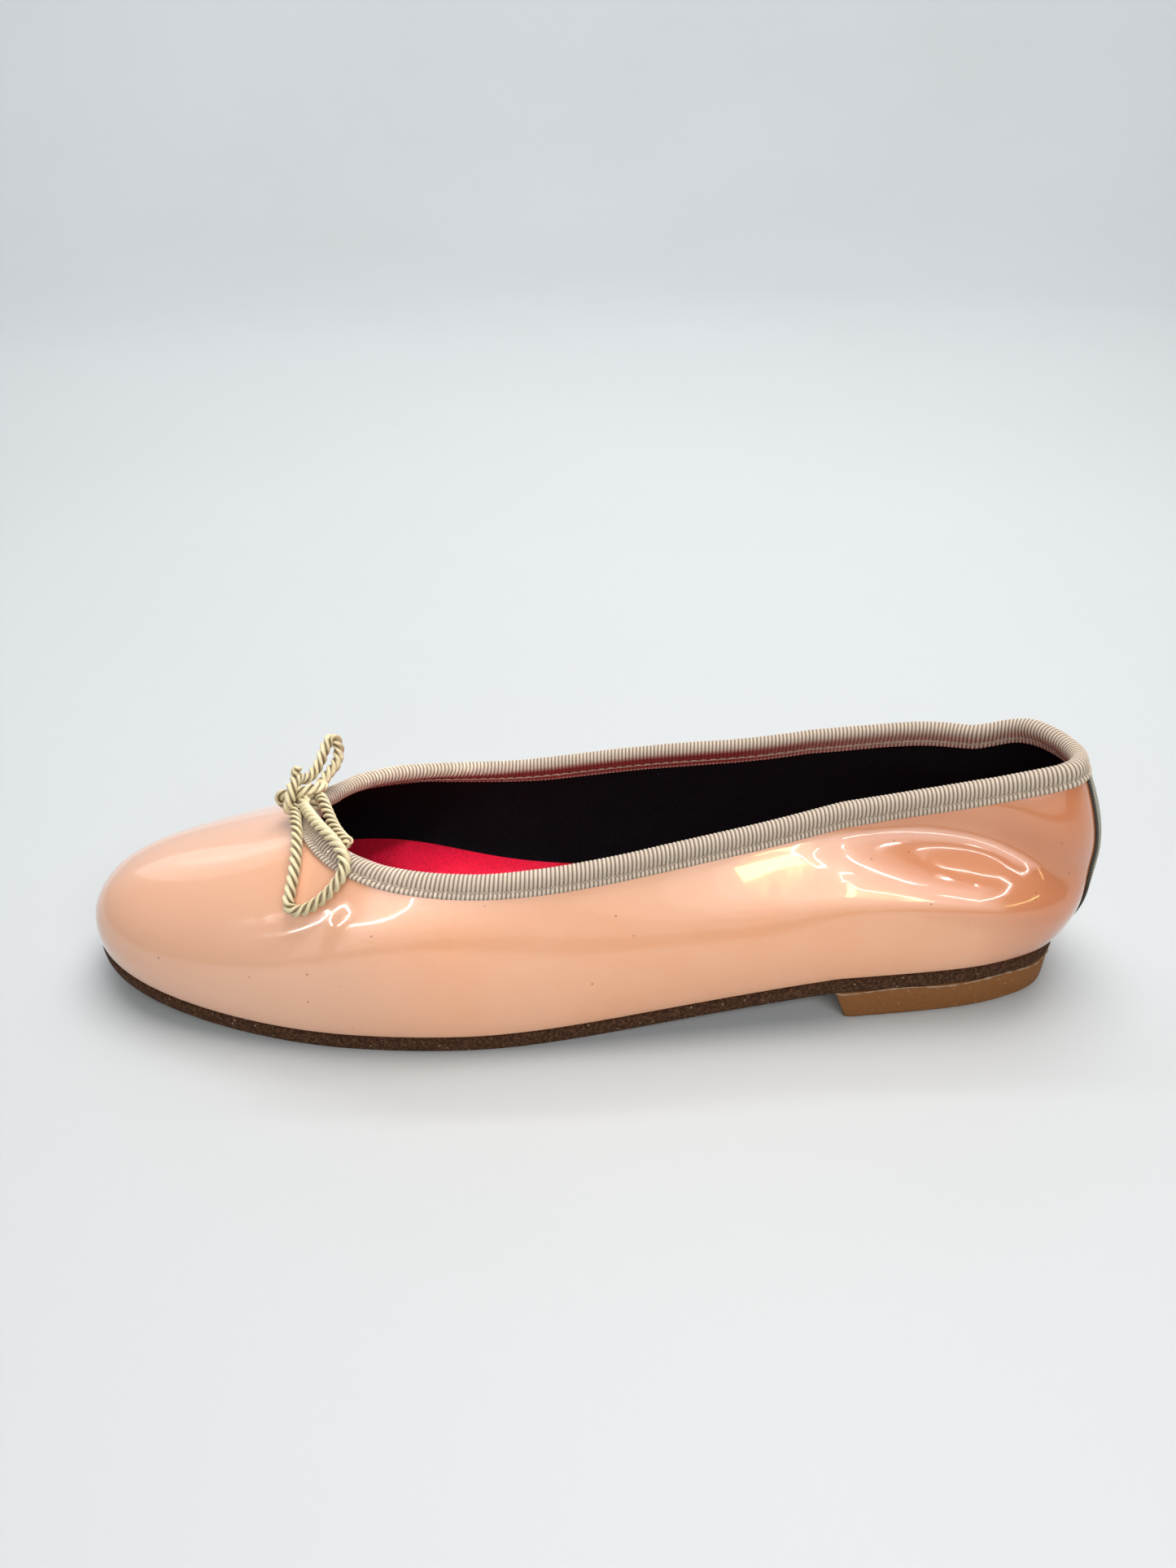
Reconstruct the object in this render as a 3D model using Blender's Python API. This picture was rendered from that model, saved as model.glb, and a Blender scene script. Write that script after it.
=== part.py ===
"""Ballet flat, the left shoe of a pair, standing on its sole.

The toe points along -X, the lateral side faces -Y and +Z is up. The origin is on the floor, under the
middle of the shoe. A station runs from 0 at the back of the last to 1 at its toe, as a share of LENGTH.
The upper is one wall lofted around the foot: each section is a curve from the sole's edge to the topline.
"""

import math
from collections import namedtuple

import bpy
import numpy as np

# Driving sizes, in metres
LENGTH = 0.252
BALL_WIDTH = 0.080
BACK_RISE = 0.049
INSTEP_RISE = 0.040
HEEL_HEIGHT = 0.0083
HEEL_LENGTH = 0.064
HEEL_TAPER = 0.0006
BREAST_SLANT = 0.003
SOLE_THICKNESS = 0.0038
SOLE_BEVEL = 0.0005
TOE_SPRING = 0.0095
UPPER_WALL = 0.0016
LASTING_MARGIN = 0.007
MARGIN_THICKNESS = 0.0010
INSOLE_THICKNESS = 0.0020
TAPE_THICKNESS = 0.0006
TAPE_OUTER_LEG = 0.0056
TAPE_INNER_LEG = 0.0062
ROLL_DIAMETER = 0.0042
SHELL_DROP = ROLL_DIAMETER / 2
STRIP_WIDTH = 0.0080
STRIP_PLACE = 0.50
STRIP_THICKNESS = 0.0006
CORD_DIAMETER = 0.0026
CLEARANCE = 0.0003

CORD_COLOUR = (0.62, 0.52, 0.33)
CORD_ROUGHNESS = 0.5

# Stations where the sole's underside leaves the floor, and where the sides have come down to the instep
ARCH_STATION = 0.61
SPRING_STATION = 0.70
INSTEP_STATION = 0.35

# How many places around the shoe are lofted, counted from the back along the lateral side
AROUND = 100
HEEL_STEPS = 13
HEEL_SEARCH = 2000

# How many steps measure the wall from topline to sole, round the roll over, and run down the back strip
WALL_STEPS = 60
ROLL_STEPS = 6
STRIP_ROWS = 10
STRIP_LINES = 5

# Where the top overhangs the sole's edge by less than this share of BALL_WIDTH, the wall leans straight out
LEAN_START = 0.10
LEAN_FULL = 0.25

# How much rounder the inside corner is than the wall is thick
CORNER_INSET = 1.3

# The sections around the shoe. Stations are shares of LENGTH, sides and outward handles are shares of
# BALL_WIDTH, and rises are shares of the upper's height at that station. Lateral sides are negative.
Section = namedtuple("Section", "name sole_at sole_side top_at top_side top_rise swell swell_rise lean lean_drop")
SECTIONS = [
    Section("back", 0.017, -0.01, 0.034, -0.05, 1.00, 0.15, 0.32, 0.11, 0.30),
    Section("back_corner_lateral", 0.037, -0.21, 0.047, -0.18, 1.02, 0.12, 0.30, 0.08, 0.30),
    Section("quarter_lateral", 0.080, -0.30, 0.085, -0.20, 1.00, 0.10, 0.30, 0.06, 0.30),
    Section("heel_lateral", 0.140, -0.35, 0.150, -0.20, 0.98, 0.09, 0.33, 0.05, 0.30),
    Section("seat_lateral", 0.260, -0.39, 0.270, -0.24, 1.00, 0.08, 0.34, 0.04, 0.29),
    Section("waist_lateral", 0.420, -0.44, 0.420, -0.33, 1.01, 0.08, 0.33, 0.04, 0.28),
    Section("joint_lateral", 0.560, -0.49, 0.540, -0.38, 1.00, 0.06, 0.30, 0.05, 0.25),
    Section("ball_lateral", 0.680, -0.49, 0.640, -0.37, 1.02, 0.06, 0.33, 0.12, 0.20),
    Section("shoulder_lateral", 0.800, -0.43, 0.700, -0.29, 1.05, 0.06, 0.35, 0.17, 0.22),
    Section("toe_lateral", 0.910, -0.31, 0.728, -0.18, 1.06, 0.06, 0.41, 0.26, 0.26),
    Section("tip_lateral", 0.968, -0.15, 0.742, -0.08, 1.02, 0.05, 0.48, 0.36, 0.30),
    Section("tip", 0.982, 0.01, 0.746, 0.01, 0.99, 0.05, 0.49, 0.38, 0.31),
    Section("tip_medial", 0.968, 0.17, 0.742, 0.09, 0.97, 0.05, 0.48, 0.36, 0.31),
    Section("toe_medial", 0.910, 0.35, 0.728, 0.19, 0.94, 0.06, 0.42, 0.26, 0.27),
    Section("shoulder_medial", 0.820, 0.48, 0.700, 0.29, 0.91, 0.06, 0.36, 0.17, 0.23),
    Section("ball_medial", 0.710, 0.53, 0.640, 0.36, 0.88, 0.06, 0.33, 0.12, 0.21),
    Section("joint_medial", 0.590, 0.40, 0.550, 0.37, 0.89, 0.06, 0.30, 0.05, 0.25),
    Section("waist_medial", 0.430, 0.27, 0.430, 0.34, 0.94, 0.11, 0.33, 0.04, 0.28),
    Section("seat_medial", 0.270, 0.27, 0.280, 0.29, 0.94, 0.10, 0.34, 0.04, 0.29),
    Section("heel_medial", 0.140, 0.28, 0.150, 0.25, 0.93, 0.09, 0.35, 0.05, 0.31),
    Section("quarter_medial", 0.080, 0.24, 0.095, 0.18, 0.93, 0.10, 0.28, 0.06, 0.30),
    Section("back_corner_medial", 0.037, 0.17, 0.058, 0.11, 1.00, 0.12, 0.30, 0.08, 0.30),
]
COLUMNS = np.array([row[1:] for row in SECTIONS])
ROWS = len(SECTIONS)

# Soft troughs and ridges that wear has left. The place counts sections around the shoe, the share runs
# from the sole to the topline, and the depth is a share of BALL_WIDTH, less than zero for a trough. The
# slope is the share by which a dent's middle rises from one section to the next.
Dent = namedtuple("Dent", "name place share depth reach height slope")
DENT_FADE = 0.20
DENTS = [
    Dent("quarter_trough", 2.5, 0.64, -0.056, 1.30, 0.13, 0.14),
    Dent("quarter_bulge", 2.9, 0.40, 0.020, 1.2, 0.12, 0.10),
    Dent("back_pinch", 1.1, 0.42, -0.026, 0.5, 0.12, 0.06),
    Dent("medial_hollow", 19.6, 0.66, -0.024, 1.0, 0.14, 0.0),
]
TIP_ROW = [row.name for row in SECTIONS].index("tip")

# Heights of the wall's rows below the tape, as shares of the way from the tape's edge to the sole
WALL_SHARES = [0.12, 0.24, 0.36, 0.48, 0.60, 0.71, 0.81, 0.89, 0.95]

# The bow's places, from the middle of its knot
Point = namedtuple("Point", "x y z")
LATERAL_LOOP = [
    Point(-0.0008, -0.0047, -0.0022),
    Point(0.0006, -0.0105, -0.0018),
    Point(0.0019, -0.0155, -0.0021),
    Point(0.0026, -0.0210, -0.0044),
    Point(0.0025, -0.0253, -0.0072),
    Point(0.0020, -0.0284, -0.0100),
    Point(0.0018, -0.0302, -0.0118),
    Point(0.0031, -0.0314, -0.0126),
    Point(0.0054, -0.0319, -0.0122),
    Point(0.0085, -0.0318, -0.0105),
    Point(0.0116, -0.0310, -0.0080),
    Point(0.0142, -0.0301, -0.0050),
    Point(0.0154, -0.0287, -0.0026),
    Point(0.0147, -0.0265, -0.0008),
    Point(0.0120, -0.0224, 0.0003),
    Point(0.0087, -0.0182, 0.0008),
    Point(0.0054, -0.0130, 0.0006),
    Point(0.0026, -0.0073, -0.0004),
    Point(0.0016, -0.0053, -0.0006),
]
LATERAL_END = [
    Point(0.0062, -0.0040, -0.0007),
    Point(0.0083, -0.0090, -0.0012),
    Point(0.0106, -0.0142, -0.0014),
    Point(0.0133, -0.0192, -0.0011),
    Point(0.0156, -0.0226, -0.0006),
]
MEDIAL_LOOP = [
    Point(0.0006, 0.0046, 0.0004),
    Point(0.0019, 0.0074, 0.0014),
    Point(0.0032, 0.0100, 0.0032),
    Point(0.0040, 0.0120, 0.0051),
    Point(0.0047, 0.0140, 0.0062),
    Point(0.0057, 0.0150, 0.0068),
    Point(0.0068, 0.0150, 0.0057),
    Point(0.0070, 0.0145, 0.0040),
    Point(0.0069, 0.0130, 0.0023),
    Point(0.0063, 0.0110, 0.0011),
    Point(0.0053, 0.0090, 0.0004),
    Point(0.0044, 0.0070, -0.0003),
    Point(0.0036, 0.0051, -0.0010),
]
MEDIAL_END = [
    Point(-0.0002, 0.0006, 0.0037),
    Point(-0.0004, 0.0008, 0.0048),
    Point(-0.0008, 0.0010, 0.0060),
]

# The knot's middle, from the front of the topline, and its half sizes
KNOT_PLACE = Point(-0.0040, -0.0008, 0.0044)
KNOT_REACH = Point(0.0048, 0.0040, 0.0032)

# A short step along a parameter, for slopes
STEP = 0.01


def spline_loop(values, where):
    """Read a closed smooth curve through the rows of values at places counted in rows."""
    count = len(values)
    rows = np.arange(count)
    system = np.zeros((count, count))
    system[rows, rows] = 4
    system[rows, (rows - 1) % count] = 1
    system[rows, (rows + 1) % count] = 1
    bend = np.roll(values, -1, 0) - 2 * values + np.roll(values, 1, 0)
    second = np.linalg.solve(system, 6 * bend)
    whole = np.floor(where).astype(int)
    part = (where - whole)[:, None]
    here = whole % count
    after = (whole + 1) % count
    rest = 1 - part
    straight = values[here] * rest + values[after] * part
    return straight + (rest ** 3 - rest) * second[here] / 6 + (part ** 3 - part) * second[after] / 6


def tread(station):
    """Height of the sole's underside: flat under the ball, up to the toe and up to the heel seat."""
    heel_station = HEEL_LENGTH / LENGTH
    toe = np.clip((station - SPRING_STATION) / (1 - SPRING_STATION), 0, None)
    arch = np.clip((ARCH_STATION - station) / (ARCH_STATION - heel_station), 0, 1)
    return TOE_SPRING * toe ** 2 + HEEL_HEIGHT * (2 * arch ** 2 - arch ** 3)


def station_of(x):
    """The station of a place given by its x."""
    return -x / LENGTH


def sole_top(x):
    """Height of the sole's upper face."""
    return tread(station_of(x)) + SOLE_THICKNESS


def wall_height(station):
    """The upper's height above the sole, from the back down to the instep."""
    share = np.clip(station / INSTEP_STATION, 0, 1)
    share = share * share * (3 - 2 * share)
    return BACK_RISE + (INSTEP_RISE - BACK_RISE) * share


def unit(vectors):
    """The vectors scaled to length one."""
    return vectors / np.linalg.norm(vectors, axis=-1, keepdims=True)


def edge_line(where):
    """The upper's lower edge, just above the sole, and the level direction that points out of it."""
    def outline(places):
        columns = spline_loop(COLUMNS, places)
        x = -columns[:, 0] * LENGTH
        return np.stack([x, columns[:, 1] * BALL_WIDTH, sole_top(x) + CLEARANCE], 1)

    run = outline(where + STEP) - outline(where - STEP)
    outward = unit(np.stack([run[:, 1], -run[:, 0], 0 * run[:, 0]], 1))
    return outline(where), -outward


def dent_depth(where, share):
    """How far the dents push the wall out at each point."""
    depth = np.zeros(len(where))
    for dent in DENTS:
        around = (where - dent.place + ROWS / 2) % ROWS - ROWS / 2
        level = share - dent.share - dent.slope * around
        depth += dent.depth * BALL_WIDTH * np.exp(-(around / dent.reach) ** 2 - (level / dent.height) ** 2)
    return depth * np.clip((1 - share) / DENT_FADE, 0, 1)


def wall(where, share):
    """Points on the upper's outer face: where counts sections, share runs from the sole to the topline."""
    columns = spline_loop(COLUMNS, where)
    foot, outward = edge_line(where)
    x = -columns[:, 2] * LENGTH
    rise = wall_height(columns[:, 2])
    top = np.stack([x, columns[:, 3] * BALL_WIDTH, sole_top(x) + columns[:, 4] * rise], 1)
    across = (foot - top) * [1, 1, 0]
    reach = np.linalg.norm(across, axis=1, keepdims=True)
    forward = np.clip((reach / BALL_WIDTH - LEAN_START) / (LEAN_FULL - LEAN_START), 0, 1)
    lean = unit(forward * across / np.maximum(reach, CLEARANCE) + (1 - forward) * outward)
    up = np.array([0, 0, 1])
    low = foot + outward * columns[:, 5:6] * BALL_WIDTH + up * (columns[:, 6] * rise)[:, None]
    high = top + lean * columns[:, 7:8] * BALL_WIDTH - up * (columns[:, 8] * rise)[:, None]
    dented = outward * dent_depth(where, share)[:, None]
    share = share[:, None]
    rest = 1 - share
    return (rest ** 3 * foot + 3 * rest ** 2 * share * low
            + 3 * rest * share ** 2 * high + share ** 3 * top + dented)


def wall_normal(where, share):
    """The direction that points out of the upper's outer face."""
    around = wall(where + STEP, share) - wall(where - STEP, share)
    upward = wall(where, np.minimum(share + STEP, 1)) - wall(where, np.maximum(share - STEP, 0))
    return unit(np.cross(upward, around))


def wall_run(where):
    """Shares from the topline to the sole, and the distance travelled down the wall at each."""
    shares = np.linspace(1, 0, WALL_STEPS + 1)
    line = np.stack([wall(where, np.full(len(where), share)) for share in shares])
    lengths = np.linalg.norm(np.diff(line, axis=0), axis=2)
    return shares, np.concatenate([np.zeros((1, len(where))), lengths.cumsum(0)])


def share_below_top(where, distance):
    """The wall share that lies a distance down the wall from the topline."""
    shares, run = wall_run(where)
    distance = np.broadcast_to(distance, len(where))
    return np.array([np.interp(d, run[:, i], shares) for i, d in enumerate(distance)])


def wall_length(where):
    """The wall's length from the topline to the sole, at each place."""
    return wall_run(where)[1][-1]


def off_wall(where, below, out):
    """Points a distance below the topline along the wall and a distance out of its outer face."""
    share = share_below_top(where, below)
    return wall(where, share) + wall_normal(where, share) * out


def add_object(name, points, faces, colour, roughness, smooth_angle=40):
    """Make a named object with its own material from points and faces."""
    mesh = bpy.data.meshes.new(name)
    mesh.from_pydata([tuple(map(float, point)) for point in points], [], faces)
    mesh.validate()
    mesh.shade_smooth()
    mesh.set_sharp_from_angle(angle=math.radians(smooth_angle))
    piece = bpy.data.objects.new(name, mesh)
    bpy.context.scene.collection.objects.link(piece)
    piece.data.materials.append(make_material(name, colour, roughness))
    return piece


def make_material(name, colour, roughness):
    """A plain surface of one colour."""
    material = bpy.data.materials.new(name)
    material.use_nodes = True
    shader = material.node_tree.nodes["Principled BSDF"]
    shader.inputs["Base Color"].default_value = (*colour, 1)
    shader.inputs["Roughness"].default_value = roughness
    shader.inputs["Metallic"].default_value = 0
    return material


def band(here, above, count):
    """Faces between two rings of points, given by the number of each ring's first point."""
    return [(here + (i + 1) % count, here + i, above + i, above + (i + 1) % count) for i in range(count)]


def loft_rings(rings):
    """A closed body from rings of points, with the last ring joined to the first."""
    count = len(rings[0])
    faces = []
    for ring in range(len(rings)):
        faces += band(ring * count, (ring + 1) % len(rings) * count, count)
    return np.concatenate(rings), faces


def pair_strips(first, count):
    """Faces over a ring of points that starts at the back, in strips from the lateral to the medial side."""
    faces = []
    for i in range(count // 2):
        corners = dict.fromkeys((i, (count - i) % count, count - i - 1, i + 1))
        faces.append([first + corner for corner in corners])
    return faces


def plate(rings):
    """A closed plate from rings of points, from its underside up to its upper face."""
    count = len(rings[0])
    top = (len(rings) - 1) * count
    faces = [face[::-1] for face in pair_strips(0, count)]
    for ring in range(len(rings) - 1):
        faces += band(ring * count, (ring + 1) * count, count)
    return np.concatenate(rings), faces + pair_strips(top, count)


def tube(rings):
    """A closed body from rings of points, with a face over each end."""
    count = len(rings[0])
    last = (len(rings) - 1) * count
    faces = [tuple(range(count))]
    for ring in range(len(rings) - 1):
        faces += band(ring * count, (ring + 1) * count, count)
    return np.concatenate(rings), faces + [tuple(range(last + count - 1, last - 1, -1))]


def places_around(count=AROUND):
    """Places around the shoe, counted in sections, from the back along the lateral side."""
    return np.arange(count) * ROWS / count


def sole_ring(inset, height):
    """A ring inside the sole's edge, a height above the underside."""
    edge, outward = edge_line(places_around())
    ring = edge - outward * inset
    ring[:, 2] = tread(station_of(ring[:, 0])) + height
    return ring


def make_outsole():
    """The thin sole, with both corners of its edge taken off."""
    rings = [
        sole_ring(SOLE_BEVEL, 0),
        sole_ring(0, SOLE_BEVEL),
        sole_ring(0, SOLE_THICKNESS - SOLE_BEVEL),
        sole_ring(SOLE_BEVEL, SOLE_THICKNESS),
    ]
    return add_object("outsole", *plate(rings), colour=(0.13, 0.07, 0.05), roughness=0.7, smooth_angle=25)


def heel_ring(inset, height, breast_x):
    """The sole's outline behind the heel's breast, as a ring at one height."""
    dense = places_around(HEEL_SEARCH)
    x = edge_line(dense)[0][:, 0]
    lateral = dense <= TIP_ROW
    lateral_end = np.interp(-breast_x, -x[lateral], dense[lateral])
    medial_end = np.interp(breast_x, x[~lateral], dense[~lateral])
    where = np.concatenate([
        np.linspace(0, lateral_end, HEEL_STEPS),
        np.linspace(medial_end, ROWS, HEEL_STEPS)[:-1],
    ])
    edge, outward = edge_line(where)
    ring = edge - outward * inset
    ring[[HEEL_STEPS - 1, HEEL_STEPS], 0] = breast_x
    ring[:, 2] = height
    return ring


def make_heel():
    """The low block under the seat, drawn in toward the floor, with a slanted breast."""
    top = HEEL_HEIGHT - CLEARANCE
    breast_x = -HEEL_LENGTH
    rings = [
        heel_ring(HEEL_TAPER + SOLE_BEVEL, 0, breast_x + BREAST_SLANT),
        heel_ring(HEEL_TAPER, SOLE_BEVEL, breast_x + BREAST_SLANT),
        heel_ring(SOLE_BEVEL, top, breast_x),
    ]
    return add_object("heel", *plate(rings), colour=(0.33, 0.16, 0.06), roughness=0.6, smooth_angle=25)


def make_upper():
    """The shell: outer wall, top edge, inner wall and the margin lasted under the foot."""
    where = places_around()
    edge, outward = edge_line(where)
    lift = np.array([0, 0, 1])

    def margin(inset, height):
        ring = edge - outward * inset
        ring[:, 2] = sole_top(ring[:, 0]) + CLEARANCE + height
        return ring

    length = wall_length(where)
    drops = [np.full(len(where), drop) for drop in (SHELL_DROP, TAPE_OUTER_LEG / 2, TAPE_OUTER_LEG)]
    drops += [TAPE_OUTER_LEG + (length - TAPE_OUTER_LEG) * share for share in WALL_SHARES]
    outer = [off_wall(where, drop, 0) for drop in drops]
    inner = [off_wall(where, drop, -UPPER_WALL) for drop in drops[:-1]]
    rings = [
        margin(LASTING_MARGIN, 0),
        margin(UPPER_WALL, 0),
        edge + lift * UPPER_WALL / 3,
        *outer[::-1],
        *inner,
        margin(UPPER_WALL * CORNER_INSET, MARGIN_THICKNESS),
        margin(LASTING_MARGIN, MARGIN_THICKNESS),
    ]
    return add_object("upper", *loft_rings(rings), colour=(0.75, 0.36, 0.22), roughness=0.2)


def make_insole():
    """The sock on its board, fitted to the inside of the wall above the margin."""
    where = places_around()
    edge, outward = edge_line(where)
    base = 2 * CLEARANCE + MARGIN_THICKNESS

    def ring(inset, height):
        line = edge - outward * inset
        line[:, 2] = sole_top(line[:, 0]) + height
        return line

    rings = [
        ring(LASTING_MARGIN + 2 * CLEARANCE, CLEARANCE),
        ring(LASTING_MARGIN + 2 * CLEARANCE, base),
        ring(UPPER_WALL * CORNER_INSET + 3 * CLEARANCE, base),
        ring(UPPER_WALL + 2 * CLEARANCE, base + INSOLE_THICKNESS),
    ]
    return add_object("insole", *plate(rings), colour=(0.60, 0.02, 0.04), roughness=0.6, smooth_angle=25)


def make_binding():
    """The tape folded over the topline, rounded over the drawstring that it holds."""
    where = places_around()
    outer_face = CLEARANCE + TAPE_THICKNESS
    inner_face = -UPPER_WALL - CLEARANCE - TAPE_THICKNESS
    middle = -UPPER_WALL / 2
    radius = ROLL_DIAMETER / 2
    profile = [
        (outer_face, TAPE_OUTER_LEG),
        (outer_face, ROLL_DIAMETER),
    ]
    for step in range(ROLL_STEPS + 1):
        angle = math.pi * step / ROLL_STEPS
        profile.append((middle + radius * math.cos(angle), radius - radius * math.sin(angle)))
    profile += [
        (inner_face, ROLL_DIAMETER),
        (inner_face, TAPE_INNER_LEG),
        (inner_face + TAPE_THICKNESS, TAPE_INNER_LEG),
        (-UPPER_WALL - CLEARANCE, SHELL_DROP - CLEARANCE),
        (CLEARANCE, SHELL_DROP - CLEARANCE),
        (CLEARANCE, TAPE_OUTER_LEG),
    ]
    rings = [off_wall(where, below, out) for out, below in profile]
    return add_object("topline_binding", *loft_rings(rings), colour=(0.50, 0.42, 0.36), roughness=0.8)


def make_back_strip():
    """The strip over the back seam, from the tape down to the sole."""
    middle = off_wall(np.array([STRIP_PLACE - STEP, STRIP_PLACE + STEP]), BACK_RISE / 2, 0)
    length_per_row = np.linalg.norm(middle[1] - middle[0]) / (2 * STEP)
    where = STRIP_PLACE + np.linspace(-0.5, 0.5, STRIP_LINES) * STRIP_WIDTH / length_per_row
    top = TAPE_OUTER_LEG + CLEARANCE
    length = wall_length(where)
    inside = []
    outside = []
    for row in range(STRIP_ROWS + 1):
        drop = top + (length - top - CLEARANCE) * row / STRIP_ROWS
        inside.append(off_wall(where, drop, CLEARANCE))
        outside.append(off_wall(where, drop, CLEARANCE + STRIP_THICKNESS))
    rings = [np.concatenate([a, b[::-1]]) for a, b in zip(inside, outside)]
    return add_object("back_strip", *tube(rings), colour=(0.22, 0.20, 0.19), roughness=0.8)


def smooth_route(points, spacing):
    """Points at an even spacing on a smooth curve through a route's own points."""
    route = np.array(points)
    ends = np.concatenate([[2 * route[0] - route[1]], route, [2 * route[-1] - route[-2]]])
    share = np.linspace(0, 1, 20, endpoint=False)[:, None]
    runs = []
    for a, b, c, d in zip(ends, ends[1:], ends[2:], ends[3:]):
        linear = (c - a) * share
        square = (2 * a - 5 * b + 4 * c - d) * share ** 2
        cube = (3 * b - a - 3 * c + d) * share ** 3
        runs.append(b + (linear + square + cube) / 2)
    line = np.concatenate(runs + [route[-1:]])
    travelled = np.concatenate([[0], np.linalg.norm(np.diff(line, axis=0), axis=1).cumsum()])
    count = max(3, round(travelled[-1] / spacing) + 1)
    even = np.linspace(0, travelled[-1], count)
    return np.stack([np.interp(even, travelled, line[:, axis]) for axis in range(3)], 1)


def make_cord(name, route, knot):
    """A length of cord, as a curve with closed ends."""
    line = smooth_route(route, CORD_DIAMETER) + knot
    curve = bpy.data.curves.new(name, "CURVE")
    curve.dimensions = "3D"
    curve.bevel_depth = CORD_DIAMETER / 2
    curve.bevel_resolution = 2
    curve.use_fill_caps = True
    spline = curve.splines.new("POLY")
    spline.points.add(len(line) - 1)
    for point, place in zip(spline.points, line):
        point.co = (*place, 1)
    cord = bpy.data.objects.new(name, curve)
    bpy.context.scene.collection.objects.link(cord)
    curve.materials.append(make_material(name, CORD_COLOUR, CORD_ROUGHNESS))
    return cord


def make_knot(knot):
    """The knot of the bow, as one rounded body."""
    bpy.ops.mesh.primitive_uv_sphere_add(segments=16, ring_count=10, radius=1)
    body = bpy.context.object
    body.name = "bow_knot"
    for vertex in body.data.vertices:
        vertex.co = [knot[axis] + vertex.co[axis] * KNOT_REACH[axis] for axis in range(3)]
    body.data.shade_smooth()
    body.data.materials.append(make_material("bow_knot", CORD_COLOUR, CORD_ROUGHNESS))
    return body


def make_bow():
    """The knot over the front of the topline, with a loop and an end on each side."""
    front = off_wall(np.array([float(TIP_ROW)]), 0, 0)[0]
    knot = front + KNOT_PLACE
    return [
        make_knot(knot),
        make_cord("bow_loop_lateral", LATERAL_LOOP, knot),
        make_cord("bow_end_lateral", LATERAL_END, knot),
        make_cord("bow_loop_medial", MEDIAL_LOOP, knot),
        make_cord("bow_end_medial", MEDIAL_END, knot),
    ]


def clear_scene():
    """Remove what the scene holds."""
    for item in list(bpy.data.objects):
        bpy.data.objects.remove(item, do_unlink=True)


def centre_on_floor(pieces, cords):
    """Put the middle of the pieces' box over the origin and its bottom on the floor, cords following."""
    corners = np.array([vertex.co for piece in pieces for vertex in piece.data.vertices])
    low, high = corners.min(0), corners.max(0)
    middle = (low + high) / 2
    for piece in pieces + cords:
        piece.location = (-middle[0], -middle[1], -low[2])


def main():
    clear_scene()
    pieces = [
        make_outsole(),
        make_heel(),
        make_upper(),
        make_insole(),
        make_binding(),
        make_back_strip(),
    ]
    centre_on_floor(pieces, make_bow())


if __name__ == "__main__":
    main()
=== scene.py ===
# %% [markdown]
# # A ballet flat, made the way the real one is
#
# A ballet flat is one leather shell drawn over a last, with a ribbed tape folded over its top edge, a thin
# sole, a low heel block and a cord that comes out of the tape and is tied in a bow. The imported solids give
# its size and place. Each cell below makes one real piece again, finer, and gives it a procedural finish.

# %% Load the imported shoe
import math
from collections import namedtuple

import bmesh
import bpy
import numpy as np
from mathutils import Matrix, Vector


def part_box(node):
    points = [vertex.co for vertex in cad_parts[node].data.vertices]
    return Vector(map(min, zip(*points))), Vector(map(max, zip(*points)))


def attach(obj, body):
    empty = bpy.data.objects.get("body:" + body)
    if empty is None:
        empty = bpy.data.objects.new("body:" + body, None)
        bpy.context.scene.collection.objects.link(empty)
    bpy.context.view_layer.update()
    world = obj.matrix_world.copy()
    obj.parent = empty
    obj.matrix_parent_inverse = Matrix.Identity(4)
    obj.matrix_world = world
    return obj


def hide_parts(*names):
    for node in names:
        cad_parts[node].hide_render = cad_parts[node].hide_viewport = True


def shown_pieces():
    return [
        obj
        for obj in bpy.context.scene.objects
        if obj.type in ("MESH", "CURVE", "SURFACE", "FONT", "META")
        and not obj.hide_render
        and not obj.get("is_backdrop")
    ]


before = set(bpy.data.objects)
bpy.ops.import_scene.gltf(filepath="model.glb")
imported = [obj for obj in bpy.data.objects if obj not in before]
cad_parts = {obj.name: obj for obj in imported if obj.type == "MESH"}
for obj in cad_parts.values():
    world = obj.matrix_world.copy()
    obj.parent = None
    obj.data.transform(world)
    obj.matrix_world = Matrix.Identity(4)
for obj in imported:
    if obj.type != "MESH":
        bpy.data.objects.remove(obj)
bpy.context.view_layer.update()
print("nodes:", ", ".join(sorted(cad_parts)))

# %% [markdown]
# ## The camera
#
# The camera comes first, because the lamps that show as glints are hung on rays from it. It stands as a
# phone does that is held close, in front of the shoe's outer side: 19 cm above the floor, looking 30 degrees
# down, with a wide lens, and rolled by a little less than a degree.

# %% Place the camera
CAMERA_PLACE = Vector((0.0008, -0.2426, 0.1884))
CAMERA_DOWN = math.radians(30)
CAMERA_ROLL = math.radians(-0.88)
LENS_MM = 26.36

forward = Vector((0, math.cos(CAMERA_DOWN), -math.sin(CAMERA_DOWN)))
level = Vector((1, 0, 0))
upward = level.cross(forward)
across = level * math.cos(CAMERA_ROLL) + upward * math.sin(CAMERA_ROLL)
upright = upward * math.cos(CAMERA_ROLL) - level * math.sin(CAMERA_ROLL)
camera = bpy.data.objects.new("camera", bpy.data.cameras.new("camera"))
camera.data.lens = LENS_MM
camera.data.clip_start = 0.01
aim = Matrix((across, upright, -forward)).transposed()
camera.matrix_world = Matrix.Translation(CAMERA_PLACE) @ aim.to_4x4()
bpy.context.scene.collection.objects.link(camera)
bpy.context.scene.camera = camera
bpy.context.scene.view_settings.view_transform = "Standard"
print("camera at", [round(v, 3) for v in CAMERA_PLACE])

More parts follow.
